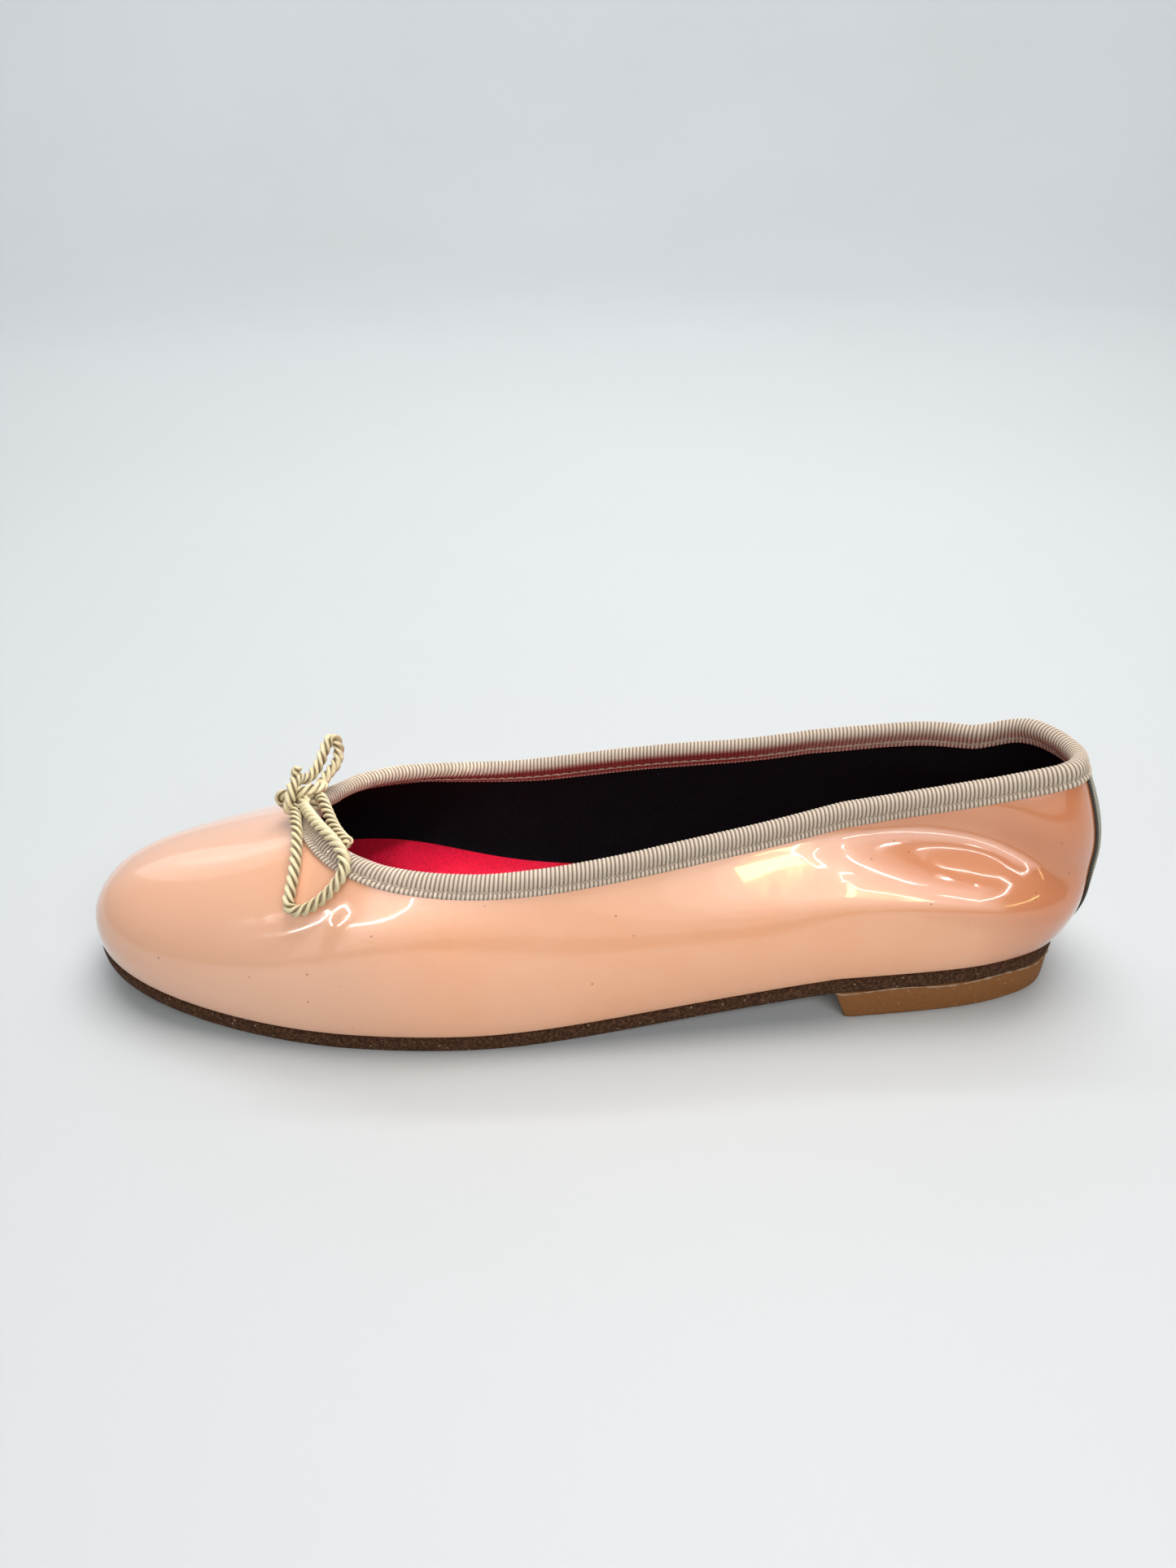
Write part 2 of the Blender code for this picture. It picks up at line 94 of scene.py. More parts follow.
# %% [markdown]
# ## Writing a finish as sums
#
# A procedural finish is a net of nodes. Wiring them by hand is slow to read, so a small class wraps a
# socket and turns Python's own operators into Math nodes. Any other node comes from one method that takes
# its type, its settings and its sockets. Colours are blended with Mix nodes, never with Math nodes.

# %% A socket that can be used in sums
class Signal:
    """A number that varies over the surface."""

    def __init__(self, finish, socket):
        self.finish = finish
        self.socket = socket

    def math(self, operation, *others, clamp=False):
        values = dict(enumerate((self, *others)))
        return self.finish.node("Math", {"operation": operation, "use_clamp": clamp}, values)

    def __add__(self, other):
        return self.math("ADD", other)

    def __sub__(self, other):
        return self.math("SUBTRACT", other)

    def __rsub__(self, other):
        return (self * -1).math("ADD", other)

    def __mul__(self, other):
        return self.math("MULTIPLY", other)

    def __truediv__(self, other):
        return self.math("DIVIDE", other)

    def sine(self):
        return self.math("SINE")

    def below(self, edge, softness):
        """1 where the number is less than the edge, 0 where it is more, with a soft step between."""
        return (0.5 - (self - edge) / softness).math("MULTIPLY", 1, clamp=True)

    def above(self, edge, softness):
        """1 where the number is more than the edge."""
        return 1 - self.below(edge, softness)


# %% A finish that makes its own nodes
class Finish:
    """One material, built on the shader that it ends in."""

    def __init__(self, name, **constants):
        self.material = bpy.data.materials.new(name)
        self.material.use_nodes = True
        self.tree = self.material.node_tree
        self.shader = self.tree.nodes["Principled BSDF"]
        for socket, value in constants.items():
            self.shader.inputs[socket.replace("_", " ")].default_value = value

    def put(self, target, value):
        """Link a signal to a socket, or write a plain value on it."""
        if isinstance(value, Signal):
            self.tree.links.new(value.socket, target)
        else:
            target.default_value = value

    def node(self, kind, settings=None, sockets=None, output=0):
        """Make a node of a type: its settings are set first, then its sockets."""
        made = self.tree.nodes.new("ShaderNode" + kind)
        for setting, value in (settings or {}).items():
            setattr(made, setting, value)
        for key, value in (sockets or {}).items():
            self.put(made.inputs[key], value)
        return Signal(self, made.outputs[output])

    def place(self):
        """The point of the surface, in metres."""
        return self.node("TexCoord", output="Object")

    def place_on(self, axis):
        """How far the point lies along the shoe (0), across it (1) or above the floor (2), in metres."""
        return self.node("SeparateXYZ", None, {0: self.place()}, output=axis)

    def flat(self, axis):
        """The distance along the piece (0) or across it (1), in metres, from its map."""
        return self.node("SeparateXYZ", None, {0: self.node("TexCoord", output="UV")}, output=axis)

    def noise(self, size, detail=2.0, roughness=0.5, where=None):
        """Soft noise from 0 to 1, with lumps of a size in metres."""
        sockets = {"Scale": 1 / size, "Detail": detail, "Roughness": roughness}
        return self.node("TexNoise", None, {"Vector": where or self.place(), **sockets})

    def dots(self, spacing, radius, where=None):
        """1 inside round dots that lie a spacing apart on average, 0 elsewhere."""
        sockets = {"Vector": where or self.place(), "Scale": 1 / spacing}
        reach = self.node("TexVoronoi", None, sockets, output="Distance")
        return reach.below(radius / spacing, 0.4 * radius / spacing)

    def stretched(self, along, across):
        """The map with its two directions scaled, for marks that are longer one way."""
        sockets = {0: self.flat(0) * along, 1: self.flat(1) * across}
        return self.node("CombineXYZ", None, sockets)

    def blend(self, factor, first, second):
        """From the first colour to the second, by a factor."""
        settings = {"data_type": "RGBA"}
        colours = [value if isinstance(value, Signal) else (*value, 1) for value in (first, second)]
        return self.node("Mix", settings, {0: factor, 6: colours[0], 7: colours[1]}, output=2)

    def relief(self, height, depth):
        """Bump from a height of 0 to 1 that stands for a depth in metres."""
        bump = self.node("Bump", None, {"Height": height, "Distance": depth})
        self.put(self.shader.inputs["Normal"], bump)

    def vary(self, **signals):
        """Link what varies over the surface to the shader."""
        for socket, signal in signals.items():
            self.put(self.shader.inputs[socket.replace("_", " ")], signal)
        return self


# %% [markdown]
# ## From rings of points to a piece
#
# Every piece of a shoe is long and runs round the foot, so each is made as rings of points that are joined
# by faces. The map of each piece is laid in metres, so that a rib, a stitch or a grain has its real size.

# %% Join rings into a mesh
def build(name, rings, finish, stands_for=(), closed=False, ring_closed=True, chart=None):
    """A piece from rings of points; chart gives the two map distances of each point, in metres."""
    rings = np.asarray(rings, float)
    rows, count = rings.shape[:2]
    row = np.arange(rows if closed else rows - 1)[:, None]
    step = np.arange(count if ring_closed else count - 1)[None, :]
    corners = [(0, 1), (0, 0), (1, 0), (1, 1)]
    faces = [((row + down) % rows) * count + (step + on) % count for down, on in corners]
    mesh = bpy.data.meshes.new(name)
    mesh.from_pydata(rings.reshape(-1, 3).tolist(), [], np.stack(faces, -1).reshape(-1, 4).tolist())
    if chart is not None:
        flat = np.stack([chart[row + down, step + on] for down, on in corners], 2)
        mesh.uv_layers.new(name="map").data.foreach_set("uv", flat.astype(np.float32).ravel())
    piece = bpy.data.objects.new(name, mesh)
    bpy.context.scene.collection.objects.link(piece)
    mesh.materials.append(finish.material)
    mesh.shade_smooth()
    if stands_for:
        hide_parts(*stands_for)
    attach(piece, "root")
    return piece


def close_ends(piece, count):
    """Put a face over the first ring and over the last ring of a piece."""
    mesh = piece.data
    last = len(mesh.vertices) - count
    faces = [list(polygon.vertices) for polygon in mesh.polygons]
    points = [tuple(vertex.co) for vertex in mesh.vertices]
    chart = [tuple(entry.uv) for entry in mesh.uv_layers[0].data] if mesh.uv_layers else None
    finish = mesh.materials[0]
    ends = [list(range(count)), list(range(last + count - 1, last - 1, -1))]
    closed = bpy.data.meshes.new(mesh.name)
    closed.from_pydata(points, [], faces + ends)
    if chart:
        chart += [(0, 0)] * (2 * count)
        closed.uv_layers.new(name="map").data.foreach_set("uv", np.array(chart, np.float32).ravel())
    closed.materials.append(finish)
    closed.shade_smooth()
    piece.data = closed
    return piece


def weld(piece, angle=None):
    """Join points that share a place, and keep edges sharper than an angle crisp."""
    work = bmesh.new()
    work.from_mesh(piece.data)
    bmesh.ops.remove_doubles(work, verts=work.verts, dist=1e-6)
    bmesh.ops.recalc_face_normals(work, faces=work.faces)
    work.to_mesh(piece.data)
    work.free()
    if angle:
        piece.data.set_sharp_from_angle(angle=math.radians(angle))
    return piece


def count_triangles():
    """How many triangles the pieces made so far have."""
    meshes = [piece.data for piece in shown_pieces() if piece.type == "MESH"]
    return sum(len(polygon.vertices) - 2 for mesh in meshes for polygon in mesh.polygons)


# %% [markdown]
# ## The cord bow
#
# The cord is three twisted strands of shiny yarn, so it isn't a smooth tube: its section is a clover that
# turns as it runs. Two cords come out of the front of the tape. One makes the long loop on the lateral side
# and the long end. The other goes round the knot and makes the small loop that stands up, and a short end.
# Their points are given in metres from the middle of the knot, and the loops lie where the solids lie.

# %% The routes of the two cords
CORD_DIAMETER = 0.0026
CORD_SWELL = 1.12
LAY_LENGTH = 0.0070
KNOT = sum(map(np.array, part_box("bow_knot"))) / 2

LATERAL_ROUTE = [
    (0.0042, -0.0006, -0.0048), (0.0034, -0.0008, -0.0036), (0.0014, -0.0004, -0.0023),
    (-0.0007, -0.0009, -0.0018), (-0.0012, -0.0028, -0.0017), (-0.0008, -0.0047, -0.0022),
    (0.0006, -0.0105, -0.0018), (0.0019, -0.0155, -0.0021), (0.0026, -0.0210, -0.0044),
    (0.0025, -0.0253, -0.0072), (0.0020, -0.0284, -0.0100), (0.0018, -0.0302, -0.0118),
    (0.0031, -0.0314, -0.0126), (0.0054, -0.0319, -0.0122), (0.0085, -0.0318, -0.0105),
    (0.0116, -0.0310, -0.0080), (0.0142, -0.0301, -0.0050), (0.0154, -0.0287, -0.0026),
    (0.0147, -0.0265, -0.0008), (0.0120, -0.0224, 0.0003), (0.0087, -0.0182, 0.0008),
    (0.0054, -0.0130, 0.0006), (0.0026, -0.0073, -0.0004), (0.0016, -0.0053, -0.0006),
    (0.0014, -0.0028, -0.0005), (0.0014, -0.0008, -0.0004), (0.0022, 0.0008, -0.0009),
    (0.0038, 0.0004, -0.0014), (0.0052, -0.0016, -0.0011), (0.0062, -0.0040, -0.0007),
    (0.0083, -0.0090, -0.0012), (0.0106, -0.0142, -0.0014), (0.0133, -0.0192, -0.0011),
    (0.0156, -0.0226, -0.0006),
]
MEDIAL_ROUTE = [
    (0.0042, 0.0016, -0.0048), (0.0026, 0.0020, -0.0036), (0.0002, 0.0014, -0.0030),
    (-0.0022, -0.0002, -0.0029), (-0.0040, -0.0008, -0.0026), (-0.0050, -0.0012, -0.0013),
    (-0.0043, -0.0016, 0.0000), (-0.0023, -0.0019, 0.0005), (0.0001, -0.0022, 0.0011),
    (0.0024, -0.0014, 0.0014), (0.0042, 0.0006, 0.0009), (0.0046, 0.0030, -0.0002),
    (0.0038, 0.0052, -0.0009), (0.0044, 0.0070, -0.0003), (0.0053, 0.0090, 0.0004),
    (0.0063, 0.0110, 0.0011), (0.0069, 0.0130, 0.0023), (0.0070, 0.0145, 0.0040),
    (0.0068, 0.0150, 0.0057), (0.0057, 0.0150, 0.0068), (0.0047, 0.0140, 0.0062),
    (0.0040, 0.0120, 0.0051), (0.0032, 0.0100, 0.0032), (0.0019, 0.0074, 0.0014),
    (0.0006, 0.0046, 0.0012), (-0.0004, 0.0024, 0.0024), (-0.0008, -0.0002, 0.0034),
    (-0.0011, -0.0026, 0.0031), (-0.0014, -0.0043, 0.0016), (-0.0019, -0.0047, -0.0004),
    (-0.0024, -0.0040, -0.0022), (-0.0026, -0.0016, -0.0036), (-0.0024, 0.0008, -0.0030),
    (-0.0020, 0.0026, -0.0012), (-0.0014, 0.0030, 0.0012), (-0.0010, 0.0022, 0.0034),
    (-0.0007, 0.0016, 0.0049), (-0.0009, 0.0014, 0.0062),
]


def smooth_line(points, spacing):
    """Points at an even spacing on a smooth curve through a route's own points."""
    route = np.array(points, float)
    ends = np.concatenate([[2 * route[0] - route[1]], route, [2 * route[-1] - route[-2]]])
    share = np.linspace(0, 1, 24, endpoint=False)[:, None]
    runs = []
    for a, b, c, d in zip(ends, ends[1:], ends[2:], ends[3:]):
        square = 2 * a - 5 * b + 4 * c - d
        cube = 3 * b - a - 3 * c + d
        runs.append(b + ((c - a) * share + square * share ** 2 + cube * share ** 3) / 2)
    line = np.concatenate(runs + [route[-1:]])
    travelled = np.concatenate([[0], np.linalg.norm(np.diff(line, axis=0), axis=1).cumsum()])
    even = np.linspace(0, travelled[-1], round(travelled[-1] / spacing) + 1)
    return np.stack([np.interp(even, travelled, line[:, axis]) for axis in range(3)], 1), travelled[-1]


def unit(vectors):
    """The vectors scaled to length one."""
    return vectors / np.maximum(np.linalg.norm(vectors, axis=-1, keepdims=True), 1e-12)


def carried_frame(line):
    """Two directions across a line at each point, carried along it without twisting."""
    ahead = unit(np.gradient(line, axis=0))
    side = unit(np.cross(ahead[0], [0.3, 0.2, 1.0]))
    sides = []
    for direction in ahead:
        side = unit(side - direction * np.dot(side, direction))
        sides.append(side)
    sides = np.array(sides)
    return sides, np.cross(ahead, sides)


# %% Three twisted strands as one skin
STRANDS = 3
STRAND_POINTS = 9
STRAND_REACH = 0.58
STRAND_RADIUS = 0.48
CORD_STEP = 0.00028
END_LENGTH = 0.0009
END_SHRINK = 0.55
WIDEST = STRAND_REACH + STRAND_RADIUS


def clover(angle):
    """How far the surface of three touching strands is from their middle, at an angle, in cord radii."""
    spread = 2 * math.pi / STRANDS
    within = (angle + spread / 2) % spread - spread / 2
    rise = np.sqrt(np.maximum(STRAND_RADIUS ** 2 - (STRAND_REACH * np.sin(within)) ** 2, 0.0))
    return STRAND_REACH * np.cos(within) + rise


def twisted_cord(name, route, stands_for):
    """A piece of three-strand cord along a route, and the line that it follows."""
    line, length = smooth_line(np.array(route) + KNOT, CORD_STEP)
    sides, others = carried_frame(line)
    travelled = np.linspace(0, length, len(line))
    around = np.linspace(0, 2 * math.pi, STRANDS * STRAND_POINTS, endpoint=False)
    turn = -2 * math.pi * travelled / LAY_LENGTH
    rings = []
    for place, side, other, twist, run in zip(line, sides, others, turn, travelled):
        end = min(run, length - run)
        taper = 1 - END_SHRINK * max(0, 1 - end / END_LENGTH) ** 2
        reach = clover(around)[:, None] * CORD_SWELL * CORD_DIAMETER / 2 / WIDEST * taper
        angle = (around + twist)[:, None]
        rings.append(place + reach * (np.cos(angle) * side + np.sin(angle) * other))
    count = len(around)
    chart = np.zeros((len(line), count + 1, 2))
    chart[:, :, 0] = travelled[:, None]
    chart[:, :, 1] = np.linspace(0, 1, count + 1)
    rings = np.array(rings)[:, ::-1]
    piece = build(name, rings, cord_finish, stands_for, chart=chart)
    return close_ends(piece, count), line, length


# %% [markdown]
# ### The yarn's finish
#
# Rayon yarn is shiny and pale gold, and the grooves between the strands are painted dark as painted shade.
# The map's second direction runs once round the cord, so three times that number counts the strands, and a
# sine of it is 1 on a crown and 0 in a groove. Fine lines along the strand stand for its filaments.

# %% Make the cord's finish
cord_finish = Finish("gold_cord", Roughness=0.34, Specular_IOR_Level=0.6)
round_cord = cord_finish.flat(1)
crown = (round_cord * (2 * math.pi * STRANDS) + math.pi / 2).sine() * 0.5 + 0.5
filament = cord_finish.noise(1.0, 3, 0.6, cord_finish.stretched(450, 90))
tint = cord_finish.noise(0.006, 2)
yarn = cord_finish.blend(filament, (0.38, 0.275, 0.115), (0.90, 0.79, 0.49))
yarn = cord_finish.blend(tint.above(0.52, 0.5), yarn, (0.78, 0.68, 0.44))
# Painted shade: the grooves between the strands are painted dark brown.
groove_shade = crown.below(0.19, 0.34)
cord_finish.vary(Base_Color=cord_finish.blend(groove_shade * 0.95, yarn, (0.120, 0.070, 0.022)))
cord_finish.relief(filament * 0.7 + crown * 0.3, 0.00012)

lateral_nodes = ("bow_loop_lateral", "bow_end_lateral", "bow_knot")
medial_nodes = ("bow_loop_medial", "bow_end_medial")
for cord_name, route, nodes in (
    ("bow_cord_lateral", LATERAL_ROUTE, lateral_nodes),
    ("bow_cord_medial", MEDIAL_ROUTE, medial_nodes),
):
    cord, line, length = twisted_cord(cord_name, route, nodes)
    print(f"{cord_name}: {length * 1000:.0f} mm of cord, {len(line)} rings")

# %% [markdown]
# ## The shape of the last
#
# A shoe gets its shape from the last, so the upper is described by sections round the foot. Each row holds
# where its curve starts on the sole's edge, where it ends on the topline and how much it swells between,
# as shares of the shoe's own sizes. The soft troughs that wear has left are rows of a second table.

# %% The shoe's sizes and sections
LENGTH = 0.252
BALL_WIDTH = 0.080
BACK_RISE = 0.049
INSTEP_RISE = 0.040
HEEL_HEIGHT = 0.0083
HEEL_LENGTH = 0.064
BREAST_SLANT = 0.003
SOLE_THICKNESS = 0.0038
TOE_SPRING = 0.0095
UPPER_WALL = 0.0016
LASTING_MARGIN = 0.007
TAPE_OUTER_LEG = 0.0056
ROLL_DIAMETER = 0.0042
STRIP_WIDTH = 0.0080
STRIP_PLACE = 0.50
CLEARANCE = 0.0003
ARCH_STATION = 0.61
SPRING_STATION = 0.70
INSTEP_STATION = 0.35

Section = namedtuple(
    "Section", "name sole_at sole_side top_at top_side top_rise swell swell_rise lean lean_drop")
SECTIONS = [
    Section("back", 0.017, -0.01, 0.034, -0.05, 1.00, 0.15, 0.32, 0.11, 0.30),
    Section("back_corner_lateral", 0.037, -0.21, 0.047, -0.18, 1.02, 0.12, 0.30, 0.08, 0.30),
    Section("quarter_lateral", 0.080, -0.30, 0.085, -0.20, 1.00, 0.10, 0.30, 0.06, 0.30),
    Section("heel_lateral", 0.140, -0.35, 0.150, -0.20, 0.98, 0.09, 0.33, 0.05, 0.30),
    Section("seat_lateral", 0.260, -0.39, 0.270, -0.24, 1.00, 0.08, 0.34, 0.04, 0.29),
    Section("waist_lateral", 0.420, -0.44, 0.420, -0.33, 1.01, 0.08, 0.33, 0.04, 0.28),
    Section("joint_lateral", 0.560, -0.49, 0.540, -0.38, 1.00, 0.06, 0.30, 0.05, 0.25),
    Section("ball_lateral", 0.680, -0.49, 0.640, -0.37, 1.02, 0.06, 0.33, 0.12, 0.20),
    Section("shoulder_lateral", 0.800, -0.43, 0.700, -0.29, 1.05, 0.06, 0.35, 0.17, 0.22),
    Section("toe_lateral", 0.910, -0.31, 0.728, -0.18, 1.06, 0.06, 0.41, 0.26, 0.26),
    Section("tip_lateral", 0.968, -0.15, 0.742, -0.08, 1.02, 0.05, 0.48, 0.36, 0.30),
    Section("tip", 0.982, 0.01, 0.746, 0.01, 0.99, 0.05, 0.49, 0.38, 0.31),
    Section("tip_medial", 0.968, 0.17, 0.742, 0.09, 0.97, 0.05, 0.48, 0.36, 0.31),
    Section("toe_medial", 0.910, 0.35, 0.728, 0.19, 0.94, 0.06, 0.42, 0.26, 0.27),
    Section("shoulder_medial", 0.820, 0.48, 0.700, 0.29, 0.91, 0.06, 0.36, 0.17, 0.23),
    Section("ball_medial", 0.710, 0.53, 0.640, 0.36, 0.88, 0.06, 0.33, 0.12, 0.21),
    Section("joint_medial", 0.590, 0.40, 0.550, 0.37, 0.89, 0.06, 0.30, 0.05, 0.25),
    Section("waist_medial", 0.430, 0.27, 0.430, 0.34, 0.94, 0.11, 0.33, 0.04, 0.28),
    Section("seat_medial", 0.270, 0.27, 0.280, 0.29, 0.94, 0.10, 0.34, 0.04, 0.29),
    Section("heel_medial", 0.140, 0.28, 0.150, 0.25, 0.93, 0.09, 0.35, 0.05, 0.31),
    Section("quarter_medial", 0.080, 0.24, 0.095, 0.18, 0.93, 0.10, 0.28, 0.06, 0.30),
    Section("back_corner_medial", 0.037, 0.17, 0.058, 0.11, 1.00, 0.12, 0.30, 0.08, 0.30),
]
COLUMNS = np.array([row[1:] for row in SECTIONS])
ROWS = len(SECTIONS)
TIP_ROW = [row.name for row in SECTIONS].index("tip")

Dent = namedtuple("Dent", "name place share depth reach height slope")
DENT_FADE = 0.20
DENTS = [
    Dent("quarter_trough", 2.5, 0.64, -0.056, 1.30, 0.13, 0.14),
    Dent("quarter_bulge", 2.9, 0.40, 0.020, 1.2, 0.12, 0.10),
    Dent("back_pinch", 1.3, 0.44, -0.018, 0.42, 0.12, 0.06),
    Dent("medial_hollow", 19.6, 0.66, -0.024, 1.0, 0.14, 0.0),
]


# %% [markdown]
# ### Reading a smooth shell from the table
#
# A closed smooth curve is drawn through each column of the table, so any place round the foot has its own
# section. The section itself is one Bezier curve, from the sole up to the topline.

# %% The shell's curves
STEP = 0.01
LEAN_START = 0.10
LEAN_FULL = 0.25
WALL_STEPS = 60


def spline_loop(values, where):
    """Read a closed smooth curve through the rows of values at places counted in rows."""
    count = len(values)
    rows = np.arange(count)
    system = np.zeros((count, count))
    system[rows, rows] = 4
    system[rows, (rows - 1) % count] = 1
    system[rows, (rows + 1) % count] = 1
    second = np.linalg.solve(system, 6 * (np.roll(values, -1, 0) - 2 * values + np.roll(values, 1, 0)))
    whole = np.floor(where).astype(int)
    part = (where - whole)[:, None]
    here, after, rest = whole % count, (whole + 1) % count, 1 - part
    straight = values[here] * rest + values[after] * part
    return straight + (rest ** 3 - rest) * second[here] / 6 + (part ** 3 - part) * second[after] / 6


def tread(station):
    """Height of the sole's underside."""
    toe = np.clip((station - SPRING_STATION) / (1 - SPRING_STATION), 0, None)
    heel_station = HEEL_LENGTH / LENGTH
    arch = np.clip((ARCH_STATION - station) / (ARCH_STATION - heel_station), 0, 1)
    return TOE_SPRING * toe ** 2 + HEEL_HEIGHT * (2 * arch ** 2 - arch ** 3)


BACK_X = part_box("heel")[0].x + HEEL_LENGTH


def sole_top(x):
    """Height of the sole's upper face."""
    return tread((BACK_X - x) / LENGTH) + SOLE_THICKNESS


def outline(where):
    """The upper's lower edge, before it is moved sideways into the frame."""
    columns = spline_loop(COLUMNS, where)
    x = BACK_X - columns[:, 0] * LENGTH
    return np.stack([x, columns[:, 1] * BALL_WIDTH, sole_top(x) + CLEARANCE], 1)


def places_around(count):
    """Places round the shoe, counted in sections, from the back along the lateral side."""
    return np.arange(count) * ROWS / count


CAD_AROUND = 100
MIDDLE_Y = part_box("outsole")[0].y - outline(places_around(CAD_AROUND))[:, 1].min()


def edge_line(where):
    """The upper's lower edge and the level direction that points out of it."""
    run = outline(where + STEP) - outline(where - STEP)
    outward = unit(np.stack([-run[:, 1], run[:, 0], 0 * run[:, 0]], 1))
    return outline(where) + [0, MIDDLE_Y, 0], outward


def dent_depth(where, share):
    """How far the dents push the wall out at each point."""
    depth = np.zeros(np.broadcast(where, share).shape)
    for dent in DENTS:
        around = (where - dent.place + ROWS / 2) % ROWS - ROWS / 2
        rise = share - dent.share - dent.slope * around
        depth += dent.depth * BALL_WIDTH * np.exp(-(around / dent.reach) ** 2 - (rise / dent.height) ** 2)
    return depth * np.clip((1 - share) / DENT_FADE, 0, 1)


def wall(where, share):
    """Points on the upper's outer face; share runs from the sole to the topline."""
    columns = spline_loop(COLUMNS, where)
    foot, outward = edge_line(where)
    x = BACK_X - columns[:, 2] * LENGTH
    fall = np.clip(columns[:, 2] / INSTEP_STATION, 0, 1)
    rise = BACK_RISE + (INSTEP_RISE - BACK_RISE) * fall * fall * (3 - 2 * fall)
    top = np.stack([x, columns[:, 3] * BALL_WIDTH + MIDDLE_Y, sole_top(x) + columns[:, 4] * rise], 1)
    over = (foot - top) * [1, 1, 0]
    reach = np.linalg.norm(over, axis=1, keepdims=True)
    ahead = np.clip((reach / BALL_WIDTH - LEAN_START) / (LEAN_FULL - LEAN_START), 0, 1)
    lean = unit(ahead * over / np.maximum(reach, CLEARANCE) + (1 - ahead) * outward)
    up = np.array([0, 0, 1])
    low = foot + outward * columns[:, 5:6] * BALL_WIDTH + up * (columns[:, 6] * rise)[:, None]
    high = top + lean * columns[:, 7:8] * BALL_WIDTH - up * (columns[:, 8] * rise)[:, None]
    dented = outward * dent_depth(where, share)[:, None]
    share = share[:, None]
    rest = 1 - share
    return (rest ** 3 * foot + 3 * rest ** 2 * share * low
            + 3 * rest * share ** 2 * high + share ** 3 * top + dented)


# %% Distances down the shell
class Shell:
    """The upper's outer face at a ring of places, read by the distance down from the topline."""

    def __init__(self, where):
        self.where = where
        self.shares = np.linspace(1, 0, WALL_STEPS + 1)
        line = np.stack([wall(where, np.full(len(where), share)) for share in self.shares])
        lengths = np.linalg.norm(np.diff(line, axis=0), axis=2)
        self.run = np.concatenate([np.zeros((1, len(where))), lengths.cumsum(0)])
        self.length = self.run[-1]

    def at(self, below, out):
        """Points a distance below the topline and a distance out of the face."""
        below = np.broadcast_to(below, len(self.where))
        share = np.array([np.interp(d, self.run[:, i], self.shares) for i, d in enumerate(below)])
        around = wall(self.where + STEP, share) - wall(self.where - STEP, share)
        climb = wall(self.where, np.minimum(share + STEP, 1)) - wall(self.where, np.maximum(share - STEP, 0))
        normal = unit(np.cross(climb, around))
        return wall(self.where, share) + normal * np.reshape(out, (-1, 1))


def even_places(count, below=0.0, dense=1600):
    """Places round the shoe that lie an even distance apart, and the whole distance round."""
    where = places_around(dense)
    ring = Shell(where).at(below, 0.0)
    steps = np.linalg.norm(np.diff(np.concatenate([ring, ring[:1]]), axis=0), axis=1)
    travelled = np.concatenate([[0], steps.cumsum()])
    even = np.linspace(0, travelled[-1], count, endpoint=False)
    return np.interp(even, travelled, np.append(where, ROWS)), travelled[-1]


def chart_of(rings, closed=False):
    """The map of a piece that runs round the shoe: metres along it and metres across it."""
    rings = np.asarray(rings)
    wrapped = np.concatenate([rings, rings[:, :1]], 1)
    if closed:
        wrapped = np.concatenate([wrapped, wrapped[:1]])
    middle = wrapped[len(wrapped) // 2]
    along = np.concatenate([[0], np.linalg.norm(np.diff(middle, axis=0), axis=1).cumsum()])
    over = np.linalg.norm(np.diff(wrapped, axis=0), axis=2).mean(1)
    chart = np.zeros((*wrapped.shape[:2], 2))
    chart[:, :, 0] = along
    chart[:, :, 1] = np.concatenate([[0], over.cumsum()])[:, None]
    return chart


# %% [markdown]
# ## The patent leather upper
#
# Patent leather is soft leather under a thick clear film. The colour lies below and is a little uneven, the
# film gives mirror-like reflections that ripple where the leather under it isn't flat, and dust that was
# caught in the film shows as dark specks. So the colour is mottled, and the film is the shader's coat.
# The toe is paler. The back and the trough in the quarter are painted a deeper, darker orange, which is
# painted shade.

# %% The upper's finish
TROUGH_MIDDLE = 0.085
TROUGH_HEIGHT = 0.035
TROUGH_FALL = -0.30
TROUGH_BEFORE = 0.035
TOE_PART = -0.055
BACK_SHADE_START = 0.100
SPECK_REACH = 0.00022
patent = Finish("peach_patent", Roughness=0.12, Coat_Weight=0.8, Coat_Roughness=0.025, Coat_IOR=1.5)
cloud = patent.noise(0.045, 3)
fine_cloud = patent.noise(0.009, 3)
peach = patent.blend(cloud.above(0.5, 0.5), (0.80, 0.415, 0.245), (0.80, 0.360, 0.175))
peach = patent.blend(fine_cloud * 0.35, peach, (0.86, 0.49, 0.33))
place_x, place_y, place_z = (patent.place_on(axis) for axis in range(3))
# The trough in the quarter: painted shade goes here, and more dust specks.
above_trough = place_z - TROUGH_HEIGHT - (place_x - TROUGH_MIDDLE) * TROUGH_FALL
trough_shade_and_specks = above_trough.above(-0.004, 0.010) * place_y.below(0.0, 0.01)
trough_shade_and_specks = trough_shade_and_specks * place_x.above(TROUGH_MIDDLE - TROUGH_BEFORE, 0.03)
peach = patent.blend(place_x.below(TOE_PART, 0.05) * 0.7, peach, (0.75, 0.435, 0.300))
# Painted shade: the back is painted a darker orange.
peach = patent.blend(place_x.above(BACK_SHADE_START, 0.02) * 0.9, peach, (0.60, 0.205, 0.080))
# Painted shade: the trough in the quarter is painted a darker orange.
peach = patent.blend(trough_shade_and_specks * cloud.above(0.35, 0.6) * 0.9, peach, (0.60, 0.215, 0.095))
specks = patent.dots(0.0062, SPECK_REACH) + patent.dots(0.019, 0.00036)
specks = specks + patent.dots(0.0038, 0.00019) * trough_shade_and_specks
patent.vary(Base_Color=patent.blend(specks.math("MINIMUM", 0.75), peach, (0.12, 0.04, 0.02)))
patent.relief(patent.noise(0.005, 1) + patent.noise(0.0016, 1) * 0.12, 0.00006)

